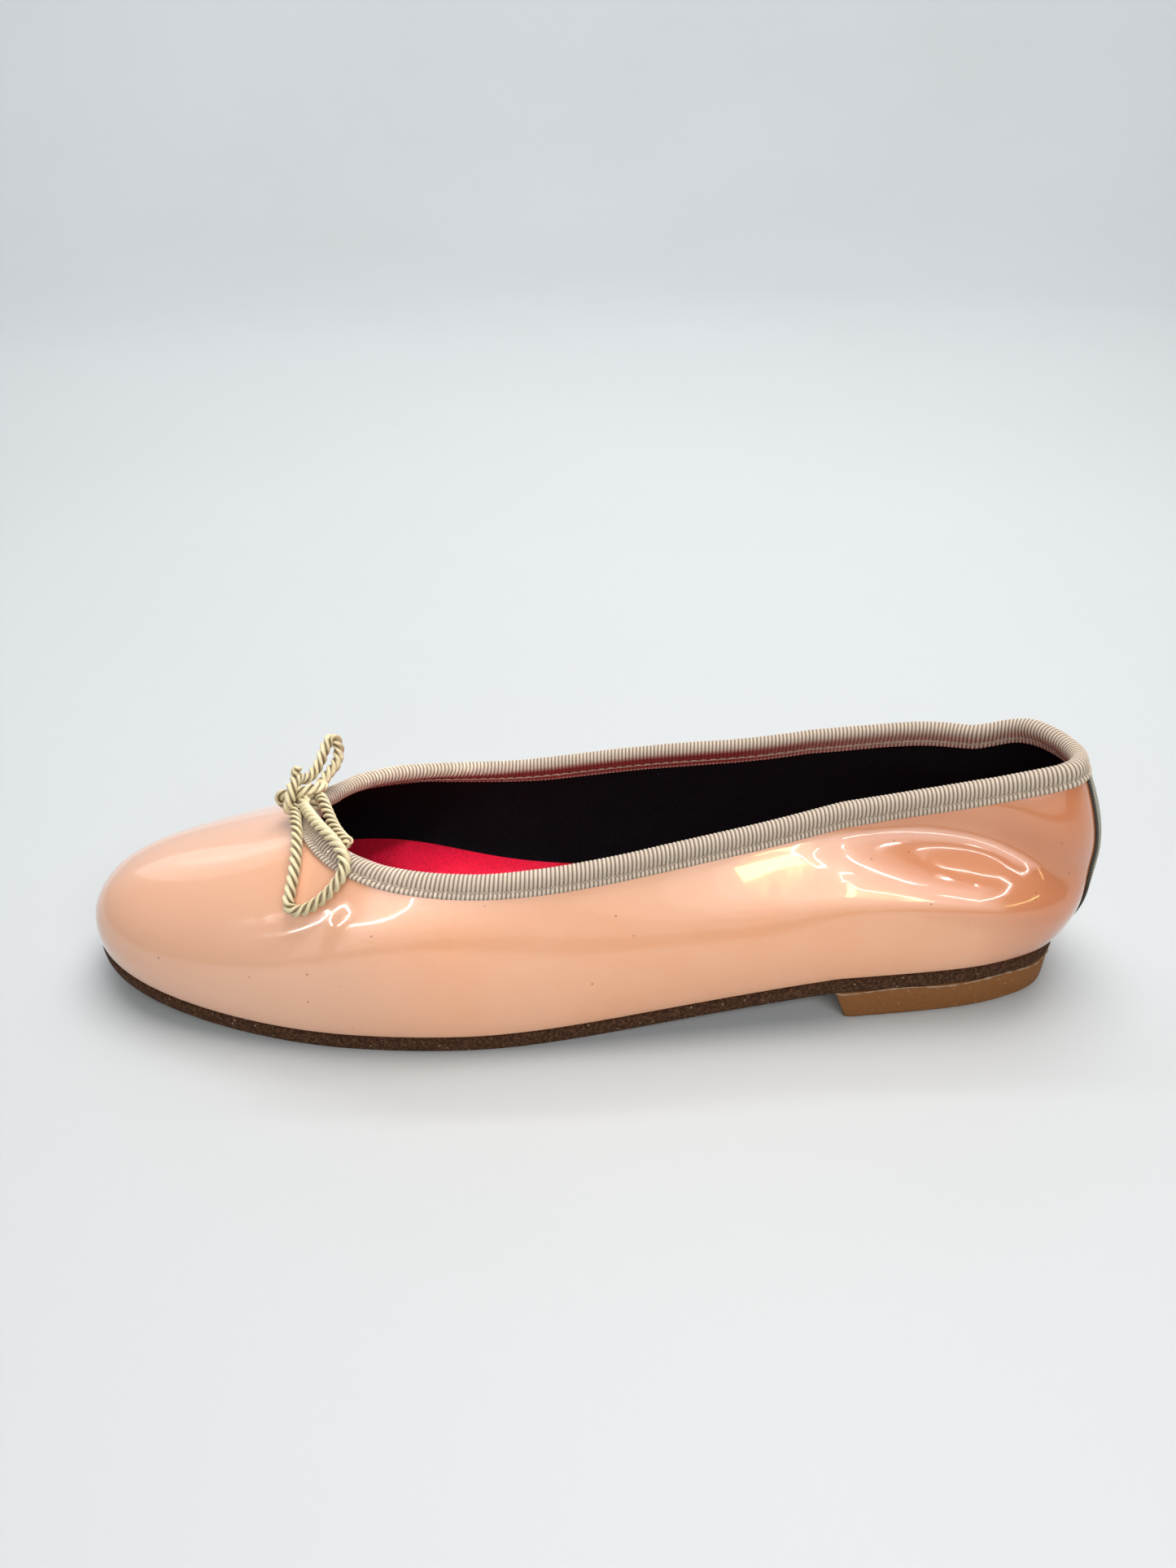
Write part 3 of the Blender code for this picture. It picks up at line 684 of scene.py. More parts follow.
# %% The upper as one closed skin
UPPER_AROUND = 440
LEATHER = 0.0010
EDGE_RADIUS = 0.0011
INNER_SHORT = 0.0040
UNDER_REACH = 0.0060
shell = Shell(places_around(UPPER_AROUND))
edge, edge_out = edge_line(shell.where)


def under_ring(inset, height):
    """A ring that lies on the sole, inside the upper's edge."""
    ring = edge - edge_out * inset
    ring[:, 2] = sole_top(ring[:, 0]) + CLEARANCE + height
    return ring


open_wall = shell.length - EDGE_RADIUS - TAPE_OUTER_LEG
outer = [shell.at(below, 0.0) for below in (ROLL_DIAMETER / 2, ROLL_DIAMETER, TAPE_OUTER_LEG)]
outer += [shell.at(TAPE_OUTER_LEG + open_wall * share, 0.0) for share in np.linspace(0, 1, 46)[1:]]
for rise in (0.75, 0.5, 0.3, 0.12, 0.0):
    tuck = EDGE_RADIUS * (1 - math.sqrt(1 - (1 - rise) ** 2))
    outer.append(shell.at(shell.length - EDGE_RADIUS * rise, -tuck))
inner_wall = shell.length - INNER_SHORT
inner = [shell.at(ROLL_DIAMETER / 2 + inner_wall * share, -LEATHER) for share in np.linspace(0, 1, 16)]
leather_rings = [under_ring(UNDER_REACH, 0.0), under_ring(UNDER_REACH / 2, 0.0), *outer[::-1], *inner]
leather_rings += [under_ring(LEATHER + EDGE_RADIUS, LEATHER), under_ring(UNDER_REACH, LEATHER)]
upper = build("upper_leather", leather_rings, patent, ["upper"], closed=True,
              chart=chart_of(leather_rings, closed=True))
print("upper:", len(upper.data.polygons), "faces")

# %% [markdown]
# ## The lining
#
# Inside, the leather is backed with black cotton twill. It takes almost all the light, so only its fine
# slanted rib and some lint show. It is a thin skin of its own, just inside the leather.

# %% The lining's finish and skin
TWILL_RIB = 0.0009
TWILL_SLANT = 1.6
twill = Finish("black_twill", Roughness=0.95, Specular_IOR_Level=0.05)
slant = (twill.flat(0) + twill.flat(1) * TWILL_SLANT) * (2 * math.pi / TWILL_RIB)
ribbing = slant.sine() * 0.5 + 0.5
lint = twill.dots(0.009, 0.00018, twill.stretched(1.0, 3.0))
cotton = twill.blend(ribbing * twill.noise(0.0006, 1), (0.0030, 0.0030, 0.0040), (0.0125, 0.0125, 0.0155))
twill.vary(Base_Color=twill.blend(lint * 0.8, cotton, (0.26, 0.26, 0.26)))
twill.relief(ribbing, 0.00012)

LINING_START = 0.0032
LINING_FOOT = 0.0016
LINING_BACK = -LEATHER - 0.00008
LINING_FACE = -UPPER_WALL - 0.00005
sag = 0.00025 * np.sin(shell.where * 5.1) + 0.0002 * np.sin(shell.where * 11.7 + 1)
lining_drop = shell.length - LINING_FOOT - LINING_START
lining_rings = [shell.at(LINING_START + lining_drop * share, LINING_BACK) for share in np.linspace(1, 0, 14)]
for share in np.linspace(0, 1, 26):
    bulge = LINING_FACE + sag * math.sin(math.pi * share)
    lining_rings.append(shell.at(LINING_START + lining_drop * share, bulge))
build("lining", lining_rings, twill, closed=True, chart=chart_of(lining_rings, closed=True))
print("lining:", len(lining_rings), "rings")

# %% [markdown]
# ## The sock
#
# The sock is the red leather that the foot stands on. It is cut to the inside of the wall and glued to the
# insole board, and its edge curls up a little where it meets the lining. Its pebbled grain is fine.

# %% The sock's finish
PEBBLE = 1 / 1400
red_leather = Finish("red_sock", Roughness=0.5, Specular_IOR_Level=0.4)
pebbles = {"Vector": red_leather.place(), "Scale": 1 / PEBBLE}
pebble = red_leather.node("TexVoronoi", None, pebbles, output="Distance")
shade = red_leather.noise(0.02, 3)
reds = red_leather.blend(shade, (0.84, 0.008, 0.040), (0.93, 0.018, 0.060))
red_leather.vary(Base_Color=red_leather.blend(pebble.above(0.55, 0.5) * 0.4, reds, (0.45, 0.004, 0.015)))
red_leather.relief(pebble, -0.00010)


# %% Plates that span the shoe from side to side
def plate(name, side_rings, finish, stands_for, crown=None, steps=24, sharp=35):
    """A closed plate: side rings from its underside up, with both faces laid in strips across the shoe."""
    side_rings = [np.asarray(ring) for ring in side_rings]
    count = len(side_rings[0])
    half = np.arange(count // 2 + 1)
    share = np.linspace(0, 1, steps + 1)[:, None, None]

    def strips(ring):
        lateral, medial = ring[half], ring[-half % count]
        return (lateral * (1 - share) + medial * share).transpose(1, 0, 2)

    low, high = strips(side_rings[0]), strips(side_rings[-1])
    if crown is not None:
        high[:, :, 2] += crown(high, share[:, 0, 0])
    rings = np.array(side_rings)
    row, step = np.arange(len(rings) - 1)[:, None], np.arange(count)[None, :]
    points = [rings.reshape(-1, 3), low.reshape(-1, 3), high.reshape(-1, 3)]
    corners = [(0, 1), (0, 0), (1, 0), (1, 1)]
    faces = [np.stack([(row + d) * count + (step + on) % count for d, on in corners], -1).reshape(-1, 4)]
    start = len(points[0])
    for grid in (low, high):
        i, k = np.arange(grid.shape[0] - 1)[:, None], np.arange(grid.shape[1] - 1)[None, :]
        quads = [start + (i + d) * grid.shape[1] + k + on for d, on in corners]
        faces.append(np.stack(quads, -1).reshape(-1, 4))
        start += grid.shape[0] * grid.shape[1]
    mesh = bpy.data.meshes.new(name)
    mesh.from_pydata(np.concatenate(points).tolist(), [], np.concatenate(faces).tolist())
    piece = bpy.data.objects.new(name, mesh)
    bpy.context.scene.collection.objects.link(piece)
    mesh.materials.append(finish.material)
    mesh.shade_smooth()
    weld(piece, sharp)
    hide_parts(*stands_for)
    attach(piece, "root")
    return piece


def sock_ring(above, out):
    """A ring on the inside of the wall, a height above the upper's edge."""
    return shell.at(shell.length - above, out)


SOCK_DIP = 0.0004
SOCK_GAP = 0.0003
BOARD_INSET = LASTING_MARGIN + 0.0006
BOARD_STEP = 0.0013


def sock_crown(points, share):
    """The sock dips a little between its curled edges."""
    return np.broadcast_to(-SOCK_DIP * (1 - np.abs(2 * share - 1) ** 6), points.shape[:2])


sock_out = -UPPER_WALL - SOCK_GAP
sock_rings = [
    under_ring(BOARD_INSET, 0.0),
    under_ring(BOARD_INSET, BOARD_STEP),
    under_ring(UPPER_WALL * 2, BOARD_STEP),
    sock_ring(0.0025, sock_out - 0.0002),
    sock_ring(0.0031, sock_out),
    sock_ring(0.0034, sock_out - 0.0003),
    sock_ring(0.0033, sock_out - 0.0009),
]
sock = plate("sock", sock_rings, red_leather, ["insole"], crown=sock_crown)
print("sock:", len(sock.data.polygons), "faces")

# %% [markdown]
# ## The sole and the heel
#
# The sole is a thin board of dark brown rubber, ground to the upper's outline, so its edge is matt and
# speckled. The heel block is a lighter crepe with pale grains in it. Some glue has run out between them.

# %% Finishes of the sole, the heel and the glue
sole_rubber = Finish("sole_rubber", Roughness=0.85, Specular_IOR_Level=0.12)
grit = sole_rubber.noise(0.0007, 3, 0.7)
brown = sole_rubber.blend(grit.above(0.55, 0.25), (0.028, 0.011, 0.005), (0.125, 0.060, 0.032))
brown = sole_rubber.blend(sole_rubber.noise(0.012, 2) * 0.4, brown, (0.058, 0.024, 0.012))
crumbs = sole_rubber.dots(0.0021, 0.00022)
sole_rubber.vary(Base_Color=sole_rubber.blend(crumbs * 0.55, brown, (0.42, 0.30, 0.21)))
sole_rubber.relief(grit, 0.00022)

crepe = Finish("heel_crepe", Roughness=0.66, Specular_IOR_Level=0.2)
grain = crepe.noise(0.0009, 3, 0.7)
tan = crepe.blend(grain, (0.150, 0.053, 0.011), (0.285, 0.118, 0.033))
tan = crepe.blend(crepe.noise(0.006, 2) * 0.5, tan, (0.185, 0.074, 0.022))
crepe.vary(Base_Color=crepe.blend(crepe.dots(0.0016, 0.00015) * 0.6, tan, (0.66, 0.50, 0.34)))
crepe.relief(grain, 0.00015)

glue = Finish("dried_glue", Roughness=0.45)
glue.vary(Base_Color=glue.blend(glue.noise(0.002, 2), (0.15, 0.075, 0.04), (0.50, 0.34, 0.22)))


# %% The sole
def sole_ring(inset, height):
    """A ring inside the sole's edge, a height above its underside."""
    ring = edge - edge_out * inset
    ring[:, 2] = tread((BACK_X - ring[:, 0]) / LENGTH) + height
    return ring


# Each pair is an inset from the edge and a height above the underside: the ground edge is a little rounded.
sole_profile = [
    (0.0010, 0.0), (0.0004, 0.00012), (0.00008, 0.0005), (0.0, 0.0011), (-0.0001, 0.0019),
    (-0.00005, 0.0027), (0.0, 0.0031), (0.0003, 0.00345), (0.0006, 0.0037), (0.0012, SOLE_THICKNESS),
]
sole_rings = [sole_ring(inset, height) for inset, height in sole_profile]
sole = plate("sole_board", sole_rings, sole_rubber, ["outsole"], sharp=60)
print("sole:", len(sole.data.polygons), "faces")

# %% The heel block
HEEL_STEPS = 90
CORNER_LENGTH = 0.0012
CORNER_INSET = 0.0005
AT_SIDE = 0.95


def heel_outline(inset, height, breast_x):
    """The sole's outline behind the breast, with its two front corners rounded."""
    dense = places_around(3000)
    x = edge_line(dense)[0][:, 0]
    lateral = dense <= TIP_ROW
    last_lateral = np.interp(-breast_x, -x[lateral], dense[lateral])
    first_medial = np.interp(breast_x, x[~lateral], dense[~lateral])
    lateral_part = np.linspace(0, last_lateral, HEEL_STEPS)
    where = np.concatenate([lateral_part, np.linspace(first_medial, ROWS, HEEL_STEPS)[:-1]])
    rim, out = edge_line(where)
    ring = rim - out * inset
    front = np.linspace(0, 1, 24)[1:-1, None]
    breast = ring[HEEL_STEPS - 1] * (1 - front) + ring[HEEL_STEPS] * front
    ring = np.concatenate([ring[:HEEL_STEPS], breast, ring[HEEL_STEPS:]])
    near_corner = np.clip(1 - np.abs(ring[:, 0] - breast_x) / CORNER_LENGTH, 0, 1) ** 2
    sideways = np.sign(ring[:, 1] - MIDDLE_Y)
    aside = np.abs(ring[:, 1] - ring[:, 1].mean())
    ring[:, 1] -= sideways * near_corner * (aside > AT_SIDE * aside.max()) * CORNER_INSET
    ring[:, 2] = height
    return ring


HEEL_GAP = 0.0001
heel_top = HEEL_HEIGHT - HEEL_GAP
breast_x = BACK_X - HEEL_LENGTH
# Each row is an inset, a height and the share of the breast's slant that is reached there.
heel_profile = [(0.0016, 0.0, 1.0), (0.0010, 0.0001, 1.0), (0.0007, 0.0005, 1.0), (0.0006, 0.0012, 0.9),
                (0.0004, 0.0045, 0.45), (0.0002, heel_top - 0.0003, 0.05), (0.0004, heel_top, 0.0)]
heel_rings = [heel_outline(inset, height, breast_x + BREAST_SLANT * slant_share)
              for inset, height, slant_share in heel_profile]
heel = build("heel_block", heel_rings, crepe, ["heel"], chart=chart_of(heel_rings))
weld(close_ends(heel, len(heel_rings[0])), 50)
print("heel:", len(heel.data.polygons), "faces")

# %% Glue that has run out along the heel's upper edge
GLUE_RADIUS = 0.00030
GLUE_INSET = 0.00015
GLUE_WANDER = 0.00035
THINNEST_THICKEST = (0.15, 1.2)
glue_line = heel_outline(GLUE_INSET, heel_top, breast_x)
glue_run = np.concatenate([[0], np.linalg.norm(np.diff(glue_line, axis=0), axis=1).cumsum()])
glue_out = unit(glue_line - glue_line.mean(0))
lumps = 0.55 + 0.45 * np.sin(glue_run * 900) * np.sin(glue_run * 370 + 1) + 0.3 * np.sin(glue_run * 2100)
glue_width = GLUE_RADIUS * np.clip(lumps, *THINNEST_THICKEST)[:, None]
glue_line[:, 2] += GLUE_WANDER * np.sin(glue_run * 240)
glue_rings = [
    glue_line + glue_width * (math.cos(angle) * glue_out + math.sin(angle) * np.array([0, 0, 1]))
    for angle in np.linspace(0, 2 * math.pi, 8, endpoint=False)
]
build("glue_bead", glue_rings, glue, closed=True)
print(f"glue: {glue_run[-1] * 1000:.0f} mm long")

# %% [markdown]
# ## The ribbed tape round the topline
#
# The tape is grosgrain: stiff cross ribs, about one a millimetre. It is folded over the raw edge and rolled
# round a drawstring, so it looks like a soft tube with a flat leg on each side. The ribs are real waves in
# the mesh, because they show in the outline, and the beads along the woven edge are the same waves, larger.
# The inner leg is painted dark red except near the heel, which is painted red bounce light from the sock and
# painted shade, so its colour changes with the distance across the tape.

# %% The tape's finish
RIB = 0.00096
INNER_BOUNCE_START = 0.0107
INNER_EDGE = 0.0147
SHEEN = {"Sheen_Weight": 0.04, "Sheen_Roughness": 0.5}
tape_finish = Finish("greige_tape", Roughness=0.85, Specular_IOR_Level=0.15, **SHEEN)
rib_wave = (tape_finish.flat(0) * (2 * math.pi / RIB)).math("COSINE") * 0.5 + 0.5
threads = tape_finish.noise(1.0, 2, 0.6, tape_finish.stretched(9000, 2500))
cover = tape_finish.blend(threads, (0.58, 0.46, 0.355), (0.78, 0.66, 0.535))
cover = tape_finish.blend(tape_finish.noise(0.02, 2) * 0.35, cover, (0.52, 0.45, 0.36))
# Painted shade: the dark between the ribs.
tape_colour = tape_finish.blend(rib_wave.below(0.36, 0.45) * 0.9, cover, (0.175, 0.125, 0.095))
across_tape = tape_finish.flat(1)
# Painted red bounce light and painted shade: the inner leg is painted dark red, except near the heel.
inner_leg_bounce = across_tape.above(INNER_BOUNCE_START, 0.0014) * across_tape.below(INNER_EDGE, 0.0005)
inner_leg_bounce = inner_leg_bounce * tape_finish.place_on(0).below(0.07, 0.06)
tape_colour = tape_finish.blend(inner_leg_bounce * 0.93, tape_colour, (0.19, 0.009, 0.007))
tape_finish.vary(Base_Color=tape_colour)
tape_finish.relief(threads * 0.4 + rib_wave * 0.6, 0.00022)

# %% The tape's section, down the outside, over the roll and down the inside
Fold = namedtuple("Fold", "out below rib")
ROLL_OUT = -UPPER_WALL / 2
OUTER_FOLDS = [
    Fold(0.00035, 0.00560, 0.3), Fold(0.00055, 0.00575, 1.2), Fold(0.00085, 0.00570, 1.8),
    Fold(0.00100, 0.00540, 1.8), Fold(0.00098, 0.00495, 1.4), Fold(0.00074, 0.00450, 0.5),
    Fold(0.00054, 0.00418, 0.1), Fold(0.00074, 0.00385, 0.5), Fold(0.00102, 0.00345, 1.0),
    Fold(0.00120, 0.00295, 1.0),
]
ARC_FOLDS = [
    Fold(ROLL_OUT + ROLL_DIAMETER / 2 * math.cos(angle), ROLL_DIAMETER / 2 * (1 - math.sin(angle)), 1.0)
    for angle in np.linspace(-0.12, math.pi + 0.12, 13)
]
INNER_FOLDS = [
    Fold(-0.00275, 0.00320, 0.9), Fold(-0.00260, 0.00380, 0.6), Fold(-0.00250, 0.00440, 0.2),
    Fold(-0.00262, 0.00480, 0.6), Fold(-0.00270, 0.00540, 1.2), Fold(-0.00268, 0.00590, 1.5),
    Fold(-0.00255, 0.00622, 1.2), Fold(-0.00220, 0.00625, 0.5), Fold(-0.00195, 0.00600, 0.0),
    Fold(-0.00190, 0.00200, 0.0), Fold(0.00030, 0.00200, 0.0),
]
FOLDS = OUTER_FOLDS + ARC_FOLDS + INNER_FOLDS
RIB_HEIGHT = 0.00011
RIB_SAMPLES = 5
PUCKER = 0.00010
THROAT_PUCKER = 0.00012
THROAT_REACH = 2.6
ROLL_TOP = 0.0012

_, topline_length = even_places(8)
rib_count = round(topline_length / RIB)
tape_where, _ = even_places(rib_count * RIB_SAMPLES)
tape_shell = Shell(tape_where)
phase = np.arange(len(tape_where)) * 2 * math.pi / RIB_SAMPLES
rib_line = np.cos(phase)
slow = tape_where * 2 * math.pi / ROWS
pucker = (np.sin(slow * 23 + 1) + np.sin(slow * 41) * 0.7 + np.sin(slow * 9 + 2)) / 2.7
at_throat = np.exp(-((tape_where - TIP_ROW) / THROAT_REACH) ** 2)
pucker = pucker * (PUCKER + THROAT_PUCKER * at_throat)
tape_rings = []
for fold in FOLDS:
    lift = fold.rib * RIB_HEIGHT * rib_line
    away = 1 if fold.out > ROLL_OUT else -1
    on_top = math.exp(-((fold.out - ROLL_OUT) / ROLL_TOP) ** 2) if fold.rib else 0
    out = fold.out + (lift + pucker * min(fold.rib, 1)) * away * (1 - on_top)
    tape_rings.append(tape_shell.at(max(fold.below, 0), out))
    if on_top:
        tape_rings[-1][:, 2] += (lift + pucker) * on_top - min(fold.below, 0)
tape_chart = chart_of(tape_rings, closed=True)
tape_chart[:, :, 0] = np.arange(len(tape_where) + 1) * RIB / RIB_SAMPLES
stands_for = ["topline_binding"]
tape = build("ribbed_tape", tape_rings, tape_finish, stands_for, closed=True, chart=tape_chart)
print(f"tape: {topline_length * 1000:.0f} mm round, {rib_count} ribs, {len(tape.data.polygons)} faces")

# %% [markdown]
# ### The stitching
#
# One row of stitches holds both legs of the tape. Each stitch is a short thread that sinks at both ends.
# All stitches of a row are one piece, as one thread is.

# %% A row of stitches on the tape
thread_finish = Finish("greige_thread", Roughness=0.7, Sheen_Weight=0.2)
twist = thread_finish.noise(0.0008, 1)
thread_finish.vary(Base_Color=thread_finish.blend(twist, (0.26, 0.20, 0.15), (0.50, 0.41, 0.32)))
THREAD_RADIUS = 0.00022
STITCH = 2.5 * RIB
STITCH_GAP = 0.22
STITCH_POINTS = 8


def sew(name, below, out, finish):
    """A row of stitches round the topline, sunk at their ends."""
    sewn_where, _ = even_places(round(topline_length / STITCH) * STITCH_POINTS, below)
    middle = Shell(sewn_where).at(below, out)
    surface = unit(Shell(sewn_where).at(below, out + 0.001) - middle)
    ahead = unit(np.roll(middle, -1, 0) - np.roll(middle, 1, 0))
    side = np.cross(surface, ahead)
    share = (np.arange(len(middle)) % STITCH_POINTS) / STITCH_POINTS
    bow = np.sin(np.clip((share - STITCH_GAP / 2) / (1 - STITCH_GAP), 0, 1) * math.pi)
    centre = middle + surface * (bow ** 0.5 * 1.3 - 1)[:, None] * THREAD_RADIUS
    width = THREAD_RADIUS * (0.35 + 0.65 * bow ** 0.4)[:, None]
    around = np.linspace(0, 2 * math.pi, 6, endpoint=False)
    rings = [centre + width * (math.cos(a) * side + math.sin(a) * surface) for a in around]
    return build(name, rings[::-1], finish, closed=True)


sew("stitches_outside", 0.00420, 0.00068, thread_finish)
sew("stitches_inside", 0.00450, -0.00262, thread_finish)
print("stitches along", round(topline_length / STITCH), "steps")

# %% [markdown]
# ## The strip down the back seam
#
# The seam at the back is covered with a narrower grey tape of the same weave. It starts under the topline's
# tape and ends at the sole, and its ribs run level.

# %% The back strip
STRIP_RIB = 0.0008
STRIP_EDGE = 0.0007
STRIP_THICKNESS = 0.00062
STRIP_SEAT = 0.0001
STRIP_LINES = 21
STRIP_ROWS = 240
strip_finish = Finish("grey_tape", Roughness=0.85, Specular_IOR_Level=0.2, Sheen_Weight=0.15)
strip_wave = (strip_finish.flat(1) * (2 * math.pi / STRIP_RIB)).math("COSINE") * 0.5 + 0.5
strip_threads = strip_finish.noise(1.0, 2, 0.6, strip_finish.stretched(2500, 9000))
strip_cover = strip_finish.blend(strip_threads, (0.25, 0.235, 0.175), (0.40, 0.38, 0.30))
# Painted shade: the dark between the strip's ribs.
strip_colour = strip_finish.blend(strip_wave.below(0.35, 0.5) * 0.7, strip_cover, (0.07, 0.058, 0.045))
strip_side = (strip_finish.flat(0) - STRIP_WIDTH / 2).math("ABSOLUTE")
strip_rim = strip_side.above(STRIP_WIDTH / 2 - STRIP_EDGE, 0.0003)
strip_colour = strip_finish.blend(strip_rim * 0.9, strip_colour, (0.03, 0.024, 0.02))
strip_finish.vary(Base_Color=strip_colour)
strip_finish.relief(strip_wave * 0.7 + strip_threads * 0.3, 0.00016)

near_back = Shell(np.array([STRIP_PLACE - STEP, STRIP_PLACE + STEP])).at(BACK_RISE / 2, 0.0)
row_length = np.linalg.norm(near_back[1] - near_back[0]) / (2 * STEP)
strip_where = STRIP_PLACE + np.linspace(-0.5, 0.5, STRIP_LINES) * STRIP_WIDTH / row_length
strip_shell = Shell(strip_where)
strip_edge = np.abs(np.linspace(-1, 1, STRIP_LINES)) > 0.93
strip_rings = []
strip_runs = np.linspace(0, 1, STRIP_ROWS)
strip_length = float(strip_shell.length.mean()) - TAPE_OUTER_LEG
for share in strip_runs:
    below = TAPE_OUTER_LEG - 0.001 + (strip_shell.length - TAPE_OUTER_LEG + 0.0004) * share
    rib = 0.00006 * math.cos(share * strip_length / STRIP_RIB * 2 * math.pi)
    top = strip_shell.at(below, STRIP_THICKNESS - 0.0002 * strip_edge + rib)
    strip_rings.append(np.concatenate([strip_shell.at(below, STRIP_SEAT), top[::-1]]))
strip_rings = np.array(strip_rings)
strip_chart = np.zeros((len(strip_rings), 2 * STRIP_LINES + 1, 2))
lines = np.linspace(0, STRIP_WIDTH, STRIP_LINES)
strip_chart[:, :, 0] = np.concatenate([lines, lines[::-1], [0]])
strip_chart[:, :, 1] = (strip_runs * strip_length)[:, None]
strip = build("back_tape", strip_rings, strip_finish, ["back_strip"], chart=strip_chart)
close_ends(strip, strip_rings.shape[1])
print(f"strip: {strip_length * 1000:.0f} mm long")

# %% [markdown]
# ## The floor and the light
#
# The shoe stands in a light tent: a pale floor that rises into its own walls all round, so every side of
# the glossy leather reflects something pale. One soft lamp hangs above and a little behind, which leaves a
# dark line of shadow under the sole's near edge, and a weaker one lights the near side.

# %% The tent
paper = Finish("pale_floor", Roughness=0.55, Specular_IOR_Level=0.25)
smudge = paper.noise(0.35, 3)
grey = paper.blend(smudge, (0.488, 0.505, 0.508), (0.518, 0.541, 0.551))
paper.vary(Base_Color=paper.blend(paper.dots(0.075, 0.0004) * 0.8, grey, (0.10, 0.09, 0.08)))
FLOOR_REACH = 1.3
WALL_RADIUS = 1.2
WALL_TOP = 2.6
TENT_SIDES = 72
bend = [
    (FLOOR_REACH + WALL_RADIUS * math.sin(angle), WALL_RADIUS * (1 - math.cos(angle)))
    for angle in np.linspace(0, math.pi / 2, 24)
]
tent_profile = [(0.001, 0.0), (0.4, 0.0), *bend, (FLOOR_REACH + WALL_RADIUS, WALL_TOP)]
turns = np.linspace(0, 2 * math.pi, TENT_SIDES, endpoint=False)
tent_points = [[(r * math.cos(a), r * math.sin(a), z) for a in turns] for r, z in tent_profile]
tent_mesh = bpy.data.meshes.new("floor")
rows, count = len(tent_points), len(turns)
tent_mesh.from_pydata(
    [p for ring in tent_points for p in ring], [],
    [(r * count + i, r * count + (i + 1) % count, (r + 1) * count + (i + 1) % count, (r + 1) * count + i)
     for r in range(rows - 1) for i in range(count)] + [tuple(range(count))],
)
floor = bpy.data.objects.new("floor", tent_mesh)
floor.location.z = -0.0002
bpy.context.scene.collection.objects.link(floor)
tent_mesh.materials.append(paper.material)
tent_mesh.shade_smooth()
floor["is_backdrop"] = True
print("tent:", len(tent_mesh.polygons), "faces")


# %% The lamps
def lamp(name, place, aim, size, watts, colour=(1, 1, 1)):
    """A soft rectangular lamp that faces a point."""
    light = bpy.data.lights.new(name, "AREA")
    light.shape = "RECTANGLE"
    light.size, light.size_y = size
    light.energy = watts
    light.color = colour
    holder = bpy.data.objects.new(name, light)
    holder.location = place
    holder.rotation_euler = (Vector(aim) - Vector(place)).to_track_quat("-Z", "Y").to_euler()
    bpy.context.scene.collection.objects.link(holder)
    return holder


DAYLIGHT = (1.0, 0.985, 0.96)
lamp("top_glow", (0.11, 0.14, 0.94), (0, 0, 0), (0.65, 0.65), 8.2, (1.0, 0.99, 0.98))
lamp("back_glow", (-0.1, 0.95, 0.75), (0, 0.1, 0), (1.5, 0.5), 1.0, (0.95, 0.975, 1.0))
lamp("wall_wash", (0, 1.0, 1.6), (0, 2.4, 0.1), (2.5, 0.6), 37, (0.97, 0.98, 1.0))
front_glow = lamp("front_glow", (0.10, -0.60, 0.50), (0, 0, 0.03), (0.7, 0.2), 3.5, DAYLIGHT)
front_glow.visible_glossy = False
# A narrow lamp that shines through the opening on the sock.
sock_glow = lamp("sock_glow", (-0.035, -0.30, 0.62), (-0.035, 0.01, 0.02), (0.04, 0.04), 0.008, DAYLIGHT)
sock_glow.data.spread = math.radians(8)
sock_glow.visible_glossy = False
# Panels that show only as reflections. Each is a stack of sheets, smaller and smaller, so its mirror image
# on the leather fades at its edges.
for name, place, aim, size, watts in (
    ("back_panel", (-0.1, 0.80, 0.95), (0, 0, 0), (2.4, 1.5), 7),
    ("back_panel_core", (-0.1, 0.82, 0.98), (0, 0, 0), (1.9, 1.1), 3.2),
    ("front_panel", (0, -0.88, 0.52), (0, 0, 0.1), (2.0, 0.96), 4.2),
    ("front_panel_mid", (0, -0.90, 0.56), (0, 0, 0.1), (1.85, 0.82), 3.4),
    ("front_panel_core", (0, -0.92, 0.60), (0, 0, 0.1), (1.7, 0.68), 2.7),
    ("front_panel_heart", (0, -0.94, 0.64), (0, 0, 0.1), (1.55, 0.52), 2.0),
):
    panel = lamp(name, place, aim, size, watts)
    panel.visible_diffuse = False

# %% [markdown]
# ### Lamps placed by their reflections
#
# The patent leather shows thin bright lines, which are mirror images of strip lamps round the camera. Each
# row gives where a line is seen in the picture. A ray goes from the camera to the leather there and is
# mirrored, and a lamp is hung on it. Points of the picture are given in pixels of a frame 1445 wide and
# 1927 high. These lamps light only the gloss, so they don't flatten the shading.

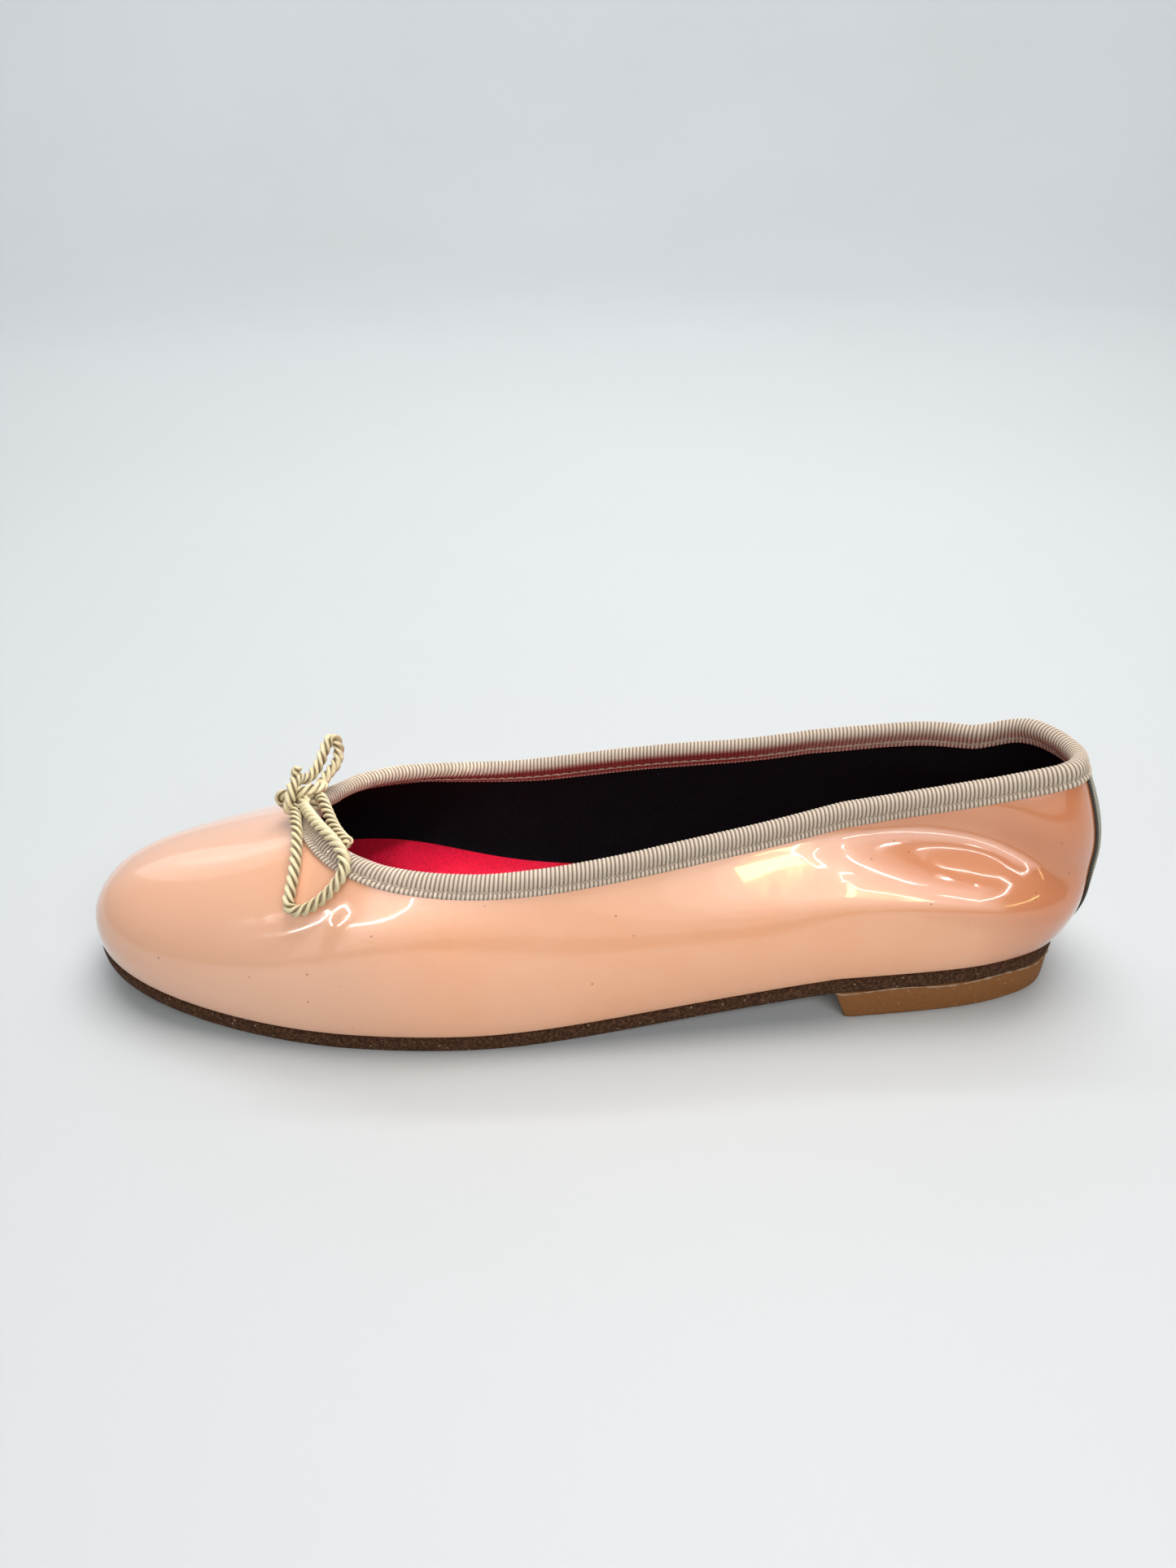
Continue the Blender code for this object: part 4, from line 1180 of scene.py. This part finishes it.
# %% Hang the lamps on mirrored rays
PICTURE_FOCAL = 1411
PICTURE_MIDDLE = (722.5, 963.5)
LAMP_REACH = 0.4
WHITE_GLARE, WARM_GLARE = (1, 1, 1), (1.0, 0.80, 0.30)
Glint = namedtuple("Glint", "name seen_at width glare colour")
GLINTS = [
    Glint("quarter_front", [(988, 1036), (997, 1054), (1016, 1069), (1037, 1079), (1080, 1086)],
          0.0018, 24, WHITE_GLARE),
    Glint("quarter_back_top", [(1142, 1059), (1184, 1071), (1227, 1079)], 0.004, 20, WHITE_GLARE),
    Glint("quarter_back", [(1227, 1079), (1241, 1088), (1232, 1100), (1208, 1106), (1150, 1100)],
          0.0045, 30, WHITE_GLARE),
    Glint("quarter_spot", [(1070, 1069), (1086, 1074)], 0.005, 30, WHITE_GLARE),
    Glint("second_spot", [(1160, 1077), (1167, 1081)], 0.007, 30, WHITE_GLARE),
    Glint("third_spot", [(1197, 1087), (1203, 1090)], 0.005, 30, WHITE_GLARE),
    Glint("vamp_hook", [(424, 1110), (405, 1120), (391, 1133), (418, 1138)], 0.005, 30, WHITE_GLARE),
    Glint("vamp_line", [(433, 1138), (460, 1135), (485, 1126), (504, 1115), (510, 1103)],
          0.007, 30, WHITE_GLARE),
    Glint("warm_patch", [(905, 1072), (940, 1064), (978, 1050)], 0.014, 20, WARM_GLARE),
    Glint("warm_patch_top", [(925, 1051), (960, 1042), (975, 1046)], 0.006, 20, WARM_GLARE),
    Glint("warm_streak", [(1235, 1117), (1277, 1103)], 0.005, 20, WARM_GLARE),
]


def mirrored(x, y):
    """Where a lamp must hang to be seen on the leather at a point of the picture."""
    aside, below = (x - PICTURE_MIDDLE[0]) / PICTURE_FOCAL, (y - PICTURE_MIDDLE[1]) / PICTURE_FOCAL
    ray = (forward + across * aside - upright * below).normalized()
    found, point, face, _ = upper.ray_cast(CAMERA_PLACE, ray)
    if not found:
        raise ValueError(f"no leather at {x}, {y}")
    return point, point + ray.reflect(face) * LAMP_REACH


bpy.context.view_layer.update()
for glint in GLINTS:
    points = [mirrored(*seen) for seen in glint.seen_at]
    for number, ((near, start), (_, end)) in enumerate(zip(points, points[1:])):
        along = end - start
        size = (along.length, glint.width)
        watts = glint.glare * math.pi * size[0] * size[1]
        holder = lamp(f"{glint.name}_{number}", (start + end) / 2, near, size, watts, glint.colour)
        facing = ((start + end) / 2 - near).normalized()
        edge_way = (along - facing * along.dot(facing)).normalized()
        holder.rotation_euler = Matrix((edge_way, facing.cross(edge_way), facing)).transposed().to_euler()
        holder.visible_diffuse = False
print(len(GLINTS), "glints")

# %% The light that fills the tent
world = bpy.data.worlds.new("tent_light")
world.use_nodes = True
sky = world.node_tree.nodes["Background"]
sky.inputs["Color"].default_value = (0.93, 0.965, 1.0, 1)
sky.inputs["Strength"].default_value = 0.22
bpy.context.scene.world = world

# %% Count the triangles
print("triangles:", count_triangles())
